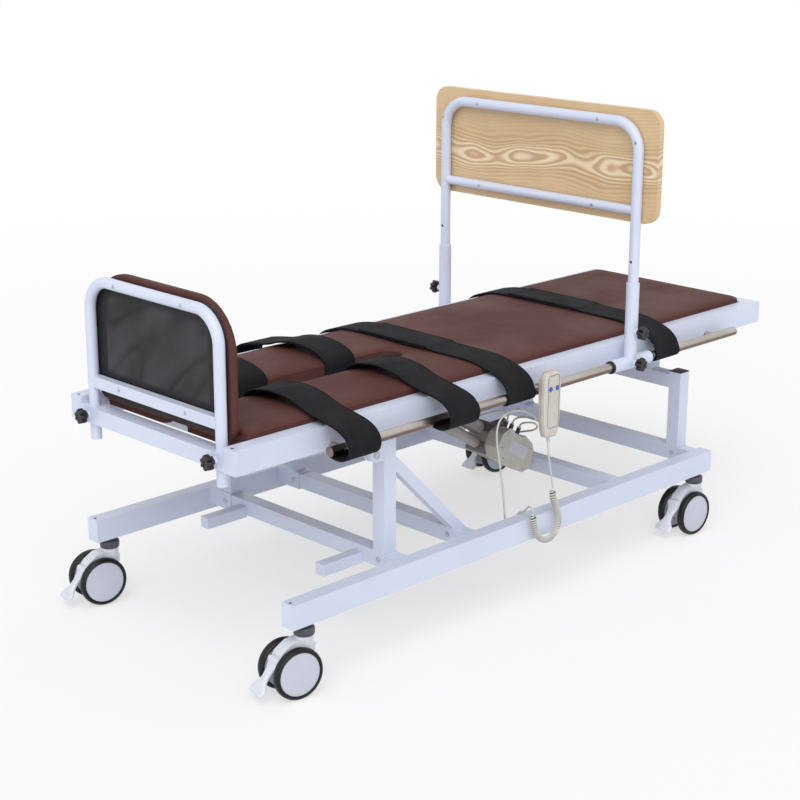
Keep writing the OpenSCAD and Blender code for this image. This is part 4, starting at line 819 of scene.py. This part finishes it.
def padMesh(name, outline, profile, sides, reach, toRow, swell, grid):
    # sides: (inset, height) rings from the underside up to the first of profile
    rings = sides + [p for p in profile if p[0] > sides[-1][0]][:7]
    count = len(outline(0))
    points, faces = [], ringFaces(len(rings), count)
    for inset, height in rings:
        points += [(u, v, height) for u, v in outline(inset)]
    faces.append(tuple(range(count)))
    edge = [Vector(p) for p in outline(rings[-1][0])]
    low = Vector((min(p.x for p in edge), min(p.y for p in edge)))
    high = Vector((max(p.x for p in edge), max(p.y for p in edge)))
    inner = []
    for i in range(int((high.x - low.x) / grid) + 1):
        for j in range(int((high.y - low.y) / grid) + 1):
            p = Vector((low.x + (i + .5 * (j % 2)) * grid, low.y + j * grid))
            if reach(p) > rings[-1][0] + grid * .45:
                inner.append(p)
    loop = [(k, (k + 1) % count) for k in range(count)]
    net = geometry.delaunay_2d_cdt(edge + inner, loop, [tuple(range(count))], 1, 1e-6)
    flat, cells, source = net[0], net[2], net[3]
    base, names = len(points), {}
    for k, p in enumerate(flat):
        old = [s for s in source[k] if s < count]
        if old:
            names[k] = (len(rings) - 1) * count + old[0]
        else:
            names[k] = len(points)
            points.append((p.x, p.y, between(profile, reach(p))))
    faces += [tuple(names[v] for v in cell) for cell in cells]
    out = [toRow(u, v, h + swell(u, v, h)) for u, v, h in points]
    print(name, "points:", len(out), "from the grid:", len(out) - base)
    return meshPiece(name, out, faces)


def arcOf(cx, cy, r, start, end, steps):
    angles = [math.radians(start + (end - start) * i / steps) for i in range(steps + 1)]
    return [(cx + r * math.cos(a), cy + r * math.sin(a)) for a in angles]


def filled(corners):
    # corners: (points of the corner, parts of the straight run after it), the same number at every inset
    points, out = [], []
    for run, parts in corners:
        points += [(p, 1) for p in run[:-1]] + [(run[-1], parts)]
    for k, (a, parts) in enumerate(points):
        b = points[(k + 1) % len(points)][0]
        out += [(a[0] + (b[0] - a[0]) * i / parts, a[1] + (b[1] - a[1]) * i / parts) for i in range(parts)]
    return out


# mattress: x from the foot end of the base, y from the middle plane
mattress = {"foot": -.012, "head": 1.862, "half": .268, "corner": .016, "slotHalf": .038, "slotEnd": .715,
            "base": .570, "grid": .016, "waves": ((5.0, 7.0, 3.1, .0006), (16.0, 19.0, 7.7, .0002)),
            "settle": .0004, "puckerHigh": .0007, "puckers": 13, "puckerReach": .05, "puckerTurn": 1.9}
mattressSides = [(.012, -.01218), (.0006, -.01218), (.0000, -.0120), (-.00018, -.0112), (-.0002, -.0005),
                 (-.0001, .0100), (.0000, .0200), (.0001, .0240), (.0002, .0262), (.0020, .0273),
                 (.0003, .0284), (.0010, .0300), (.0022, .0314)]
mattressCrown = [(.0022, .0314), (.0038, .0331), (.0060, .0346), (.0090, .0361), (.0130, .0373),
                 (.0180, .0383), (.0240, .0392), (.0300, .0399), (.0480, .0416), (.0700, .0426),
                 (.1100, .0430)]


def mattressOutline(inset):
    m = mattress
    c = m["corner"]
    low, high = m["foot"] + inset + c, m["head"] - inset - c
    y, slot = m["half"] - inset - c, m["slotHalf"] + inset
    inner, end = slot + c, m["slotEnd"] - m["slotHalf"]
    return filled([(arcOf(high, y, c, 0, 90, 8), 150), (arcOf(low, y, c, 90, 180, 8), 14),
                   (arcOf(low, inner, c, 180, 270, 8), 60), (arcOf(end, 0, slot, 90, -90, 24), 60),
                   (arcOf(low, -inner, c, 90, 180, 8), 14), (arcOf(low, -y, c, 180, 270, 8), 150),
                   (arcOf(high, -y, c, 270, 360, 8), 40)])


def mattressReach(p):
    m = mattress
    edge = min(p.x - m["foot"], m["head"] - p.x, m["half"] - abs(p.y))
    end = m["slotEnd"] - m["slotHalf"]
    if p.x < end:
        slot = abs(p.y) - m["slotHalf"]
    else:
        slot = Vector((p.x - end, p.y)).length - m["slotHalf"]
    return min(edge, slot)


def mattressSwell(u, v, h):
    # slack of the cover: slow waves on the top, small puckers where it is pulled round the end of the gap
    m = mattress
    if h < .005:
        return 0
    slow = sum(noise.noise(Vector((u * a, v * b, seed))) * high for a, b, seed, high in m["waves"])
    pull = Vector((u - (m["slotEnd"] - m["slotHalf"]), v))
    turn, away = math.atan2(pull.y, pull.x), pull.length - m["slotHalf"]
    pucker = 0
    if abs(turn) < m["puckerTurn"] and away < m["puckerReach"]:
        pucker = m["puckerHigh"] * math.cos(turn * m["puckers"]) * max(0, 1 - away / m["puckerReach"]) ** 2
        pucker *= min(1, (m["puckerTurn"] - abs(turn)) * 3)
    return min(0, slow - m["settle"]) + pucker * min(1, (h - .005) / .02)


mattressPiece = padMesh("mattress_cover", mattressOutline, mattressCrown, mattressSides, mattressReach,
                        lambda u, v, h: at(u, v, mattress["base"] + h), mattressSwell, mattress["grid"])
finishPiece(mattressPiece, "brownLeather", "couch", "brown_leather", "mattress")


# footboard pad: u across the couch, v up from the lower edge, h towards the patient
footPad = {"width": .504, "height": .317, "corner": .120, "lowCorner": .030, "face": -.0442, "low": .586,
           "parts": (26, 20, 44, 20), "grid": .012, "puckerHigh": .0006, "puckers": 34, "puckerReach": .030}
footPadSides = [(.0100, .0002), (.0030, .0010), (.0008, .0030), (.0000, .0060), (.0000, .0110),
                (.0000, .0150), (.0003, .0166), (.0015, .0175), (.0006, .0184), (.0011, .0196),
                (.0022, .0208)]
footPadCrown = [(.0022, .0208), (.0040, .0225), (.0070, .0241), (.0110, .0253), (.0160, .0262),
                (.0240, .0270), (.0340, .0276), (.0450, .0280), (.0900, .0284)]


def roundedOutline(shape, inset):
    y, top, r, q = shape["width"] / 2 - inset, shape["height"] - inset, shape["corner"], shape["lowCorner"]
    corners = [arcOf(y - r, top - r, r, 0, 90, 20), arcOf(r - y, top - r, r, 90, 180, 20),
               arcOf(q - y, inset + q, q, 180, 270, 10), arcOf(y - q, inset + q, q, 270, 360, 10)]
    return filled(zip(corners, shape["parts"]))


def roundedReach(shape, p):
    # distance in from a rounded outline
    edge = min(shape["width"] / 2 - abs(p.x), p.y, shape["height"] - p.y)
    for corner, up in ((shape["corner"], shape["height"] - p.y), (shape["lowCorner"], p.y)):
        cx, cy = abs(p.x) - (shape["width"] / 2 - corner), corner - up
        if cx > 0 and cy > 0:
            edge = min(edge, corner - math.hypot(cx, cy))
    return edge


def footPadSwell(u, v, h):
    slow = noise.noise(Vector((u * 9.0, v * 9.0, 5.5))) * .0005
    cx, cy = abs(u) - (footPad["width"] / 2 - footPad["corner"]), v - (footPad["height"] - footPad["corner"])
    pucker = 0
    if cx > 0 and cy > 0 and h > .004:
        turn, away = math.atan2(cy, cx), footPad["corner"] - math.hypot(cx, cy)
        fade = max(0, 1 - away / footPad["puckerReach"])
        pucker = footPad["puckerHigh"] * math.cos(turn * footPad["puckers"]) * fade * math.sin(2 * turn)
    return slow * min(1, h / .02) + pucker


footPadPiece = padMesh("footboard_cushion", lambda inset: roundedOutline(footPad, inset),
                       footPadCrown, footPadSides, lambda p: roundedReach(footPad, p),
                       lambda u, v, h: at(footPad["face"] + h, u, footPad["low"] + v),
                       footPadSwell, footPad["grid"])
finishPiece(footPadPiece, "brownLeather", "footboard", "brown_leather", "footboard_pad")


# board behind it, covered in black cloth that lies in slack folds between the bars
backing = {"width": .480, "height": .293, "corner": .070, "lowCorner": .030, "thick": .008, "face": -.0522,
           "low": .598, "parts": (44, 36, 80, 36), "grid": .006, "window": (.206, .651, .866), "edge": .016,
           "fold": .0080, "slant": (-.74, .67), "across": (.67, .74), "crestSheen": (1.5, .22)}
backingSides = [(.0040, .0002), (.0006, .0004), (.0000, .0014), (.0000, .0066), (.0006, .0076)]
backingCrown = [(.0006, .0076), (.0016, .0079), (.0040, .0080), (.0100, .0080), (.0200, .0080)]


def foldAt(u, v):
    # slanting folds of slack cloth with a hollow beside each, flat where the bars hold it
    half, low, high = backing["window"]
    z = backing["low"] + v
    room = min(half - abs(u), z - low, high - z)
    if room < 0:
        return 0
    slant, cross = (u * a + v * b for a, b in (backing["slant"], backing["across"]))
    warp = noise.noise(Vector((u * 6.0, v * 6.0, 2.0))) * .03
    broad = noise.noise(Vector(((slant + warp) * 5.0, (cross + warp) * 13.0, 11.0)))
    hollow = 1 - min(1, abs(noise.noise(Vector(((slant - warp) * 3.6, (cross + warp) * 12.0, 35.0)))) / .26)
    small = noise.noise(Vector((slant * 9.0, (cross - warp) * 32.0, 47.0)))
    lift = .50 + .50 * broad - .40 * hollow ** 1.6 + .16 * small
    return min(1, room / backing["edge"]) ** 2 * max(0, lift)


def backingSwell(u, v, h):
    return backing["fold"] * foldAt(u, v) if h > .0078 else 0


backingPiece = padMesh("footboard_cloth_back", lambda inset: roundedOutline(backing, inset),
                       backingCrown, backingSides, lambda p: roundedReach(backing, p),
                       lambda u, v, h: at(backing["face"] + backing["thick"] - h, u, backing["low"] + v),
                       backingSwell, backing["grid"])
flatPlaces = [(vert.co.y, vert.co.z, 0) for vert in backingPiece.data.vertices]
folds = [foldAt(y + middle[1], z - backing["low"]) for y, z, _ in flatPlaces]
# painted sheen: a mask that grows with the height of the folds and lightens their tops
rise, start = backing["crestSheen"]
storePlaces(backingPiece, flatPlaces)
storeValues(backingPiece, "crestSheen", [min(1, max(0, fold * rise - start)) for fold in folds])
finishPiece(backingPiece, "backingCloth", "footboard", "black_cloth", "footboard_backing")
print("pads made")


# straps: a padded band, doubled and stitched, along the CAD's own path
strap = {"width": .102, "thick": .005, "boardZ": .558, "padZ": .570, "padT": .043, "boardT": .012,
         "sideY": .345, "sideZ": .540, "railR": .0125, "slack": .0003, "slotHalf": .038, "boardHalf": .268,
         "tip": .185, "end": .060, "step": .005, "leastRings": 60, "ripple": .00025,
         "seam": (.0054, .0074), "stitchStep": .0036, "stitch": .00016}
strap["top"] = strap["padZ"] + strap["padT"] + strap["slack"] + strap["thick"] / 2
strap["lap"] = strap["thick"] + strap["slack"]
strap["wrapR"] = strap["railR"] + strap["slack"] + strap["thick"] / 2
legShares = [(.135, 1.09), (.26, 1.35), (.435, 1.455), (.62, 1.31), (.76, .99), (.92, .84), (1.09, .62),
             (1.17, .16), (1.165, -.33), (1.12, -.58), (1.06, -.66)]
edgeShares = [(.76, .94), (.905, .70), (1, .34)]


def lifted(shares):
    rise = strap["boardT"] + strap["padT"]
    return [Vector((a * strap["sideY"], strap["boardZ"] + b * rise)) for a, b in shares]


def wrapped(start, tuck):
    steps = math.ceil((start + 90 + tuck) / 12)
    arc = arcOf(strap["sideY"], strap["sideZ"], strap["wrapR"], start, -90 - tuck, steps)
    return [Vector(p) for p in arc]


def legPath(tuck):
    y = strap["slotHalf"] - strap["slack"] - strap["thick"] / 2
    start = [Vector((y, strap["boardZ"])), Vector((y, strap["padZ"] + strap["padT"] / 2)),
             Vector((y, strap["padZ"] + strap["padT"] * .75))]
    return softened(start + lifted(legShares) + wrapped(-99, tuck), 3)


def bodyPath(start, over):
    # over: how much higher a half lies where it laps the other one
    z, lap = strap["top"], strap["lap"]
    points = [Vector((start, z + over))]
    if over:
        points += [Vector((strap["end"], z + over)), Vector((strap["end"] + lap, z + over)),
                   Vector((strap["end"] + 5 * lap, z))]
    points += [Vector((strap["boardHalf"] - strap["padT"] * k, z)) for k in (2, 1)]
    return softened(points + lifted(edgeShares) + wrapped(30, 110), 3)


def bandSection(width, thick):
    # one turn round the band: bound edges, a stitched line beside each, and a groove between the two layers
    t = thick / 2
    top = [(.0000, .35), (.0008, .82), (.0024, 1.0), (.0044, .97), (.0056, .72), (.0064, .66), (.0072, .74),
           (.0088, .94), (.0140, .99), (.0300, 1.0)]
    half = [(w, h * t) for w, h in top]
    upper = half + [(width / 2, t)] + [(width - w, h) for w, h in reversed(half)]
    lower = [(width - w, -h) for w, h in half] + [(width / 2, -t)] + [(w, -h) for w, h in reversed(half)]
    return upper + [(width - .0022, 0)] + lower + [(.0022, 0)]


def strapPiece(name, bands):
    # bands: (x of the foot-side edge, side of the couch, path)
    points, faces, places = [], [], []
    section = bandSection(strap["width"], strap["thick"])
    for seed, (x, side, path) in enumerate(bands):
        line = evenly(path, max(strap["leastRings"], int(lengthOf(path) / strap["step"])))
        first, run = len(points), 0.0
        for i, p in enumerate(line):
            ahead = (line[min(i + 1, len(line) - 1)] - line[max(i - 1, 0)]).normalized()
            out = Vector((-ahead.y, ahead.x))
            run += (p - line[i - 1]).length if i else 0
            for w, t in section:
                ripple = noise.noise(Vector((run * 22, w * 30, seed * 9.0 + x * 3))) * strap["ripple"]
                sewn = strap["seam"][0] < min(w, strap["width"] - w) < strap["seam"][1]
                stitch = math.cos(run * 2 * math.pi / strap["stitchStep"]) * strap["stitch"] if sewn else 0
                flat = p + out * (t + (ripple + stitch if abs(t) > .001 else 0))
                points.append(at(x + w, side * flat.x, flat.y))
                places.append((run, w, t * 4))
        faces += ringFaces(len(line), len(section), first) + endFaces(len(line), len(section), first)
    piece = meshPiece(name, points, faces)
    storePlaces(piece, places)
    return piece


straps = {"shin_bands": ([(.200, 1, legPath(35)), (.165, -1, legPath(35))], "shin_straps"),
          "knee_bands": ([(.493, 1, legPath(110)), (.495, -1, legPath(110))], "knee_straps"),
          "hip_band": ([(.748, 1, bodyPath(-strap["end"], 0)),
                        (.748, -1, bodyPath(-strap["tip"], strap["lap"]))], "hip_strap"),
          "chest_band": ([(1.348, 1, bodyPath(-strap["end"], 0)),
                          (1.348, -1, bodyPath(-strap["tip"], strap["lap"]))], "chest_strap")}
for name, (bands, node) in straps.items():
    finishPiece(strapPiece(name, bands), "strapCloth", "couch", "strap_webbing", node)
print("straps made")


# twin wheels: tyres and discs turned round each caster's axle
wheels = {"trail": .038, "height": .0625, "offset": .035, "steps": 72,
          "spots": [(.049, -.375, -10), (.049, .375, -10), (1.529, -.375, -3), (1.529, .375, -3)]}
tyreHalf = [(.0524, -.0080), (.0532, -.0100), (.0548, -.0111), (.0566, -.0112), (.0586, -.0100),
            (.0594, -.0092), (.0606, -.0084), (.0617, -.0060), (.0624, -.0030)]
tyreProfile = tyreHalf + [(.0625, .0000)] + [(r, -h) for r, h in reversed(tyreHalf)] + tyreHalf[:1]
discProfile = [(.0000, -.0075), (.0260, -.0075), (.0280, -.0060), (.0440, -.0060), (.0485, -.0084),
               (.0515, -.0088), (.0521, -.0082), (.0521, .0080), (.0518, .0087), (.0510, .0092),
               (.0492, .0097), (.0460, .0102), (.0400, .0108), (.0310, .0113), (.0200, .0117),
               (.0100, .01195), (.0030, .0120), (.0000, .0120)]
axleProfile = [(.0000, -.0300), (.0050, -.0300), (.0050, .0300), (.0000, .0300)]
for i, (x, y, yaw) in enumerate(wheels["spots"], 1):
    a = math.radians(yaw)
    centre = at(x - wheels["trail"] * math.cos(a), y - wheels["trail"] * math.sin(a), wheels["height"])
    axle = Vector((-math.sin(a), math.cos(a), 0))
    pair = [(centre + axle * wheels["offset"], axle), (centre - axle * wheels["offset"], -axle)]
    tyres = lathePiece(f"tyres_{i}", [(tyreProfile, c, d) for c, d in pair], wheels["steps"])
    turned = [(discProfile, c, d) for c, d in pair] + [(axleProfile, centre, axle)]
    discs = lathePiece(f"wheel_discs_{i}", turned, wheels["steps"])
    finishPiece(tyres, "tyreRubber", f"wheels_{i}", "wheel", f"caster_wheels_{i}")
    finishPiece(discs, "wheelDisc", f"wheels_{i}", "wheel")
    smoothCurves(tyres)
    smoothCurves(discs)
print("wheels made")


# brake pedals: a boss on its pin, a broad shoulder, a waisted blade and a toe, in each caster's own frame
pedal = {"pin": (-.07095, .09075), "boss": .0101, "bossHalf": .0113, "pinRadius": .003, "pinHalf": .0178,
         "rings": 56, "around": 32, "square": 3.0, "pinSteps": 40, "chamfer": .0006, "weld": 3e-5}
# along the caster, height, half width and half thickness of the blade, from its shoulder to its toe
pedalStops = [(-.0786, .1000, .0178, .0008), (-.0800, .0988, .0205, .0016), (-.0824, .0955, .0219, .0022),
              (-.0838, .0908, .0220, .0026), (-.0842, .0856, .0208, .0034), (-.0866, .0792, .0178, .0046),
              (-.0916, .0718, .0142, .0054), (-.0980, .0632, .0118, .0058), (-.1050, .0545, .0118, .0058),
              (-.1108, .0470, .0152, .0056), (-.1154, .0408, .0212, .0054), (-.1198, .0354, .0258, .0054),
              (-.1244, .0306, .0270, .0054), (-.1296, .0268, .0266, .0044), (-.1332, .0250, .0246, .0016)]


def curveThrough(stops, k):
    # a smooth curve through the stops; k counts them, with the parts between
    j = min(int(k), len(stops) - 2)
    t = k - j
    near = [stops[min(max(n, 0), len(stops) - 1)] for n in range(j - 1, j + 3)]
    return [.5 * (2 * q + (r - p) * t + (2 * p - 5 * q + 4 * r - w) * t ** 2
                  + (3 * q - p - 3 * r + w) * t ** 3) for p, q, r, w in zip(*near)]


def pedalPiece(number, x, y, yaw):
    p, e = pedal, pedal["chamfer"]
    c, s = math.cos(math.radians(yaw)), math.sin(math.radians(yaw))

    def out(u, v, z):
        return at(x + u * c - v * s, y + u * s + v * c, z)

    points, stops = [], len(pedalStops) - 1
    line = [curveThrough(pedalStops, stops * i / (p["rings"] - 1)) for i in range(p["rings"])]
    for i, (u, z, half, thick) in enumerate(line):
        ahead, behind = line[min(i + 1, len(line) - 1)], line[max(i - 1, 0)]
        run = Vector((ahead[0] - behind[0], ahead[1] - behind[1])).normalized()
        for k in range(p["around"]):
            turn = 2 * math.pi * k / p["around"]
            across, over = (math.copysign(abs(f) ** (2 / p["square"]), f)
                            for f in (math.cos(turn), math.sin(turn)))
            points.append(out(u + run.y * thick * over, half * across, z - run.x * thick * over))
    faces = ringFaces(len(line), p["around"]) + endFaces(len(line), p["around"])
    axle, pin = Vector((-s, c, 0)), out(p["pin"][0], 0, p["pin"][1])
    for r, half in ((p["boss"], p["bossHalf"]), (p["pinRadius"], p["pinHalf"])):
        profile = [(0, -half), (r - e, -half), (r, e - half), (r, half - e), (r - e, half), (0, half)]
        more, rings = latheRings(profile, p["pinSteps"], pin, axle)
        faces += [tuple(len(points) + v for v in face) for face in rings]
        points += more
    piece = meshPiece(f"pedal_{number}", points, faces)
    closeSeams(piece, p["weld"])
    smoothCurves(piece)
    finishPiece(piece, "casterWhite", f"pedal_{number}", "caster_white", f"brake_pedal_{number}")


for i, (x, y, yaw) in enumerate(wheels["spots"], 1):
    pedalPiece(i, x, y, yaw)
print("pedals made")


# star knobs: seven round lobes with sharp valleys and a dished top, on a neck and a stud
grip = {"lobes": 7, "lobeShape": .62, "reach": .0190, "valley": .0126, "starFrom": .45, "starRange": .35,
        "long": .018, "neck": .0088, "neckLong": .006, "stud": .004, "chamfer": .0006, "seat": .0004,
        "steps": 112, "neckSteps": 32, "weld": 3e-5,
        "shape": [(.00, .0000), (.60, .0000), (.86, .0002), (.95, .0012), (.99, .0030), (1.0, .0055),
                  (1.0, .0105), (.985, .0135), (.95, .0156), (.89, .0170), (.80, .0178), (.68, .0180),
                  (.58, .0178), (.50, .0172), (.46, .0164), (.42, .0161), (.00, .0161)]}


def knobPiece(node, joint):
    g = grip
    axis = Vector(joint["axis"]).normalized()
    inner, outer = sorted(Vector(p).dot(axis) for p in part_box(node))
    centre = Vector(joint["pos_m"])
    centre -= axis * centre.dot(axis)
    side = axis.orthogonal().normalized()
    up = axis.cross(side)
    points = []
    for share, high in g["shape"]:
        starred = min(1, max(0, (share - g["starFrom"]) / g["starRange"]))
        for k in range(g["steps"]):
            turn = 2 * math.pi * k / g["steps"]
            lobe = (.5 + .5 * math.cos(turn * g["lobes"])) ** g["lobeShape"]
            star = g["valley"] + (g["reach"] - g["valley"]) * lobe * starred
            away = (side * math.cos(turn) + up * math.sin(turn)) * max(star * share, 1e-5)
            points.append(centre + axis * (outer - g["long"] + high) + away)
    faces = ringFaces(len(g["shape"]), g["steps"])
    neck, e = outer - g["long"] - g["neckLong"], g["chamfer"]
    top = neck + g["neckLong"] + g["seat"]
    profile = [(0, inner), (g["stud"], inner), (g["stud"], neck), (g["neck"] - e, neck),
               (g["neck"], neck + e), (g["neck"], top), (0, top)]
    more, rings = latheRings(profile, g["neckSteps"], centre, axis)
    faces += [tuple(len(points) + v for v in face) for face in rings]
    piece = meshPiece(node + "_grip", points + more, faces)
    closeSeams(piece, g["weld"])
    smoothCurves(piece)
    finishPiece(piece, "knobPlastic", joint["child"], "knob_black", node)


for joint in frame["joints"]:
    for node in frame["record"]["behaviour"]["bodies"].get(joint["child"], []):
        if "knob" in node:
            knobPiece(node, joint)
print("knobs made")


# black plastic plugs in the vent holes of the rails; their black is painted shade, standing in for the dark inside
# of the holes
ventShadePlugs = {"radius": .0038, "neck": .0028, "proud": .0009, "long": .0040, "gap": .0002, "steps": 24,
         "spots": {"base": (.009, .375, .225), "couch": (-.077, .290, .590)}}
ventShadeProfile = [(0, ventShadePlugs["proud"]), (ventShadePlugs["radius"] * .7, ventShadePlugs["proud"] * .9),
               (ventShadePlugs["radius"], ventShadePlugs["gap"]), (ventShadePlugs["neck"], ventShadePlugs["gap"]),
               (ventShadePlugs["neck"], -ventShadePlugs["long"]), (0, -ventShadePlugs["long"])]
for body, (x, y, z) in ventShadePlugs["spots"].items():
    parts = [(ventShadeProfile, at(x, side * y, z), Vector((0, 0, 1))) for side in (-1, 1)]
    piece = lathePiece(f"{body}_vent_shade_plugs", parts, ventShadePlugs["steps"])
    finishPiece(piece, "blackCapPlastic", body, "black_plastic")
print("plugs made")


# handset: face panel with its border line, domed buttons with their arrows
handset = {"x": .886, "front": -.389, "keyZ": .550, "keyGap": .0125, "panel": (.0215, .446, .585, .009),
           "border": .0015,
           "dome": [(.0050, .0040), (.0050, -.0016), (.0063, -.0016), (.0064, -.0019), (.0060, -.0023),
                    (.0050, -.0026), (.0036, -.00285), (.0018, -.0030), (.0000, -.00305)], "domeSteps": 40,
           "arrow": (.0020, .0021), "arrowDepth": (.0020, .0033)}


def roundedLoop(halfWidth, low, high, corner, steps=8):
    x, run = halfWidth - corner, []
    run += arcOf(x, high - corner, corner, 0, 90, steps) + arcOf(-x, high - corner, corner, 90, 180, steps)
    run += arcOf(-x, low + corner, corner, 180, 270, steps) + arcOf(x, low + corner, corner, 270, 360, steps)
    return run


def handsetPanel(h):
    halfWidth, low, high, corner = h["panel"]
    front = h["front"]
    rim = roundedLoop(halfWidth, low, high, corner)
    inner = roundedLoop(halfWidth - h["border"], low + h["border"], high - h["border"], corner - h["border"])
    count = len(rim)
    layers = ((rim, -.0002), (rim, .0003), (inner, .0003), (inner, -.0002))
    line = [at(h["x"] + u, front - d, z) for loop, d in layers for u, z in loop]
    faces = ringFaces(4, count) + [(3 * count + k, 3 * count + (k + 1) % count, (k + 1) % count, k)
                                   for k in range(count)]
    border = meshPiece("handset_border", line, faces, False)
    film = [at(h["x"] + u * .998, front - d, z) for d in (-.0003, .0001) for u, z in inner]
    plate = sheetPiece("handset_panel", film)
    finishPiece(border, "panelViolet", "handset", "handset_plastic")
    finishPiece(plate, "panelFilm", "handset", "handset_plastic")


def handsetButtons(h):
    half, high = h["arrow"]
    for side, name in ((-1, "up"), (1, "down")):
        centre = at(h["x"] + side * h["keyGap"], h["front"], h["keyZ"])
        cap = lathePiece(f"{name}_cap", [(h["dome"], centre, Vector((0, 1, 0)))], h["domeSteps"])
        finishPiece(cap, "buttonBlue", f"{name}_button", "button_blue", f"{name}_button")
        tall = -side * high
        marks = [(-half, -tall * .55), (half, -tall * .55), (0, tall * .75)]
        points = [centre + Vector((u, -d, z)) for d in h["arrowDepth"] for u, z in marks]
        finishPiece(sheetPiece(f"{name}_arrow", points), "buttonMark", f"{name}_button", "button_blue")


handsetPanel(handset)
handsetButtons(handset)
print("handset dressed")


# control box: rubber plug shells, lid screws and a bare label plate
box = {"cover": [(.0058, -.0030), (.0064, -.0024), (.0064, .0040), (.0059, .0044), (.0059, .0056),
                 (.0064, .0060), (.0064, .0080), (.0059, .0084), (.0059, .0096), (.0064, .0100),
                 (.0060, .0128), (.0046, .0165), (.0034, .0181), (.0026, .0183)], "coverSteps": 32,
       "screw": [(.0023, -.0012), (.0023, .0002), (.0019, .0009), (.0009, .0012), (.0007, .0007),
                 (.0000, .0006)], "screwSteps": 20, "screwSink": .0015,
       "screwSpots": ((.86, .78), (.90, .12), (.76, -.26), (.16, -.30), (.12, .62)),
       "label": (.040, -.0165, .0165, .003, 4), "labelSpot": (.070, .022), "labelDepth": (-.0002, .0004)}


def boxDetails(b):
    long, paintedShade = drive["boxLength"], drive["boxDepth"]
    centre, face = drive["gearHalf"] + drive["boxThick"] / 2, drive["gearHalf"] + drive["boxThick"]
    upward, outward = Vector((math.sin(drive["slope"]), 0, math.cos(drive["slope"]))), Vector((0, -1, 0))
    feet = [alongDrive(share * long, centre, paintedShade) for share in drive["plugShare"]]
    covers = lathePiece("plug_shells", [(b["cover"], foot, upward) for foot in feet], b["coverSteps"])
    smoothCurves(covers)
    finishPiece(covers, "plugRubber", "drive", "box_plastic")
    spots = [alongDrive(u * long, face - b["screwSink"], v * paintedShade) for u, v in b["screwSpots"]]
    screws = lathePiece("lid_screws", [(b["screw"], spot, outward) for spot in spots], b["screwSteps"])
    finishPiece(screws, "screwBlack", "drive", "bolt_steel")
    along, up = b["labelSpot"]
    rim = [(u + along, v + up) for u, v in roundedLoop(*b["label"])]
    sheet = [alongDrive(u, face + d, v) for d in b["labelDepth"] for u, v in rim]
    finishPiece(sheetPiece("label_plate", sheet), "labelPlate", "drive", "box_plastic")


boxDetails(box)
print("control box dressed")


# floor, world and lamps
studio = {"floorSize": 60.0, "floorTone": (.93, .93, .93, 1), "nearGlow": .56, "fade": (2.2, 6.0),
          "worldLight": .62, "worldTint": (.97, .98, 1.0),
          "key": {"strength": 1.20, "spread": 50.0, "from": (-2.6, -2.4, 4.6)},
          "fill": {"strength": .72, "spread": 70.0, "from": (-3.2, -2.9, 1.6)}}


def seenStraight(tree):
    path = put(tree, "ShaderNodeLightPath").outputs
    return calc(tree, "MAXIMUM", path["Is Camera Ray"],
                calc(tree, "MAXIMUM", path["Is Glossy Ray"], path["Is Transmission Ray"]))


def makeStudio(s):
    world = bpy.data.worlds.new("studioWorld")
    bpy.context.scene.world = world
    world.use_nodes = True
    tree = world.node_tree
    tree.nodes.clear()
    light = put(tree, "ShaderNodeBackground", {"Color": s["worldTint"] + (1,), "Strength": s["worldLight"]})
    white = put(tree, "ShaderNodeBackground", {"Color": (1, 1, 1, 1), "Strength": 1.0})
    mixed = put(tree, "ShaderNodeMixShader", {0: seenStraight(tree), 1: light.outputs[0],
                                              2: white.outputs[0]})
    put(tree, "ShaderNodeOutputWorld", {"Surface": mixed.outputs[0]})
    half = s["floorSize"]
    floor = meshPiece("floor", [(-half, -half, 0), (half, -half, 0), (half, half, 0), (-half, half, 0)],
                      [(0, 1, 2, 3)], False)
    paint = bpy.data.materials.new("paleFloor")
    paint.use_nodes = True
    tree = paint.node_tree
    tree.nodes.clear()
    matte = put(tree, "ShaderNodeBsdfDiffuse", {"Color": s["floorTone"]})
    glow = put(tree, "ShaderNodeEmission", {"Color": (1, 1, 1, 1), "Strength": 1.0})
    place = put(tree, "ShaderNodeTexCoord").outputs["Object"]
    away = put(tree, "ShaderNodeVectorMath", {0: place}, operation="LENGTH").outputs["Value"]
    far = ramp(tree, away, *s["fade"], s["nearGlow"], 1.0)
    share = calc(tree, "MULTIPLY", far, seenStraight(tree))
    mixed = put(tree, "ShaderNodeMixShader", {0: share, 1: matte.outputs[0], 2: glow.outputs[0]})
    put(tree, "ShaderNodeOutputMaterial", {"Surface": mixed.outputs[0]})
    floor.data.materials.append(paint)
    for name in ("key", "fill"):
        data = bpy.data.lights.new(name + "Lamp", "SUN")
        data.energy, data.angle = s[name]["strength"], math.radians(s[name]["spread"])
        lamp = bpy.data.objects.new(name + "Lamp", data)
        lamp.matrix_world = Vector(s[name]["from"]).to_track_quat("Z", "Y").to_matrix().to_4x4()
        bpy.context.scene.collection.objects.link(lamp)
    bpy.context.scene.view_settings.view_transform = "Standard"


makeStudio(studio)
print("scene ready")
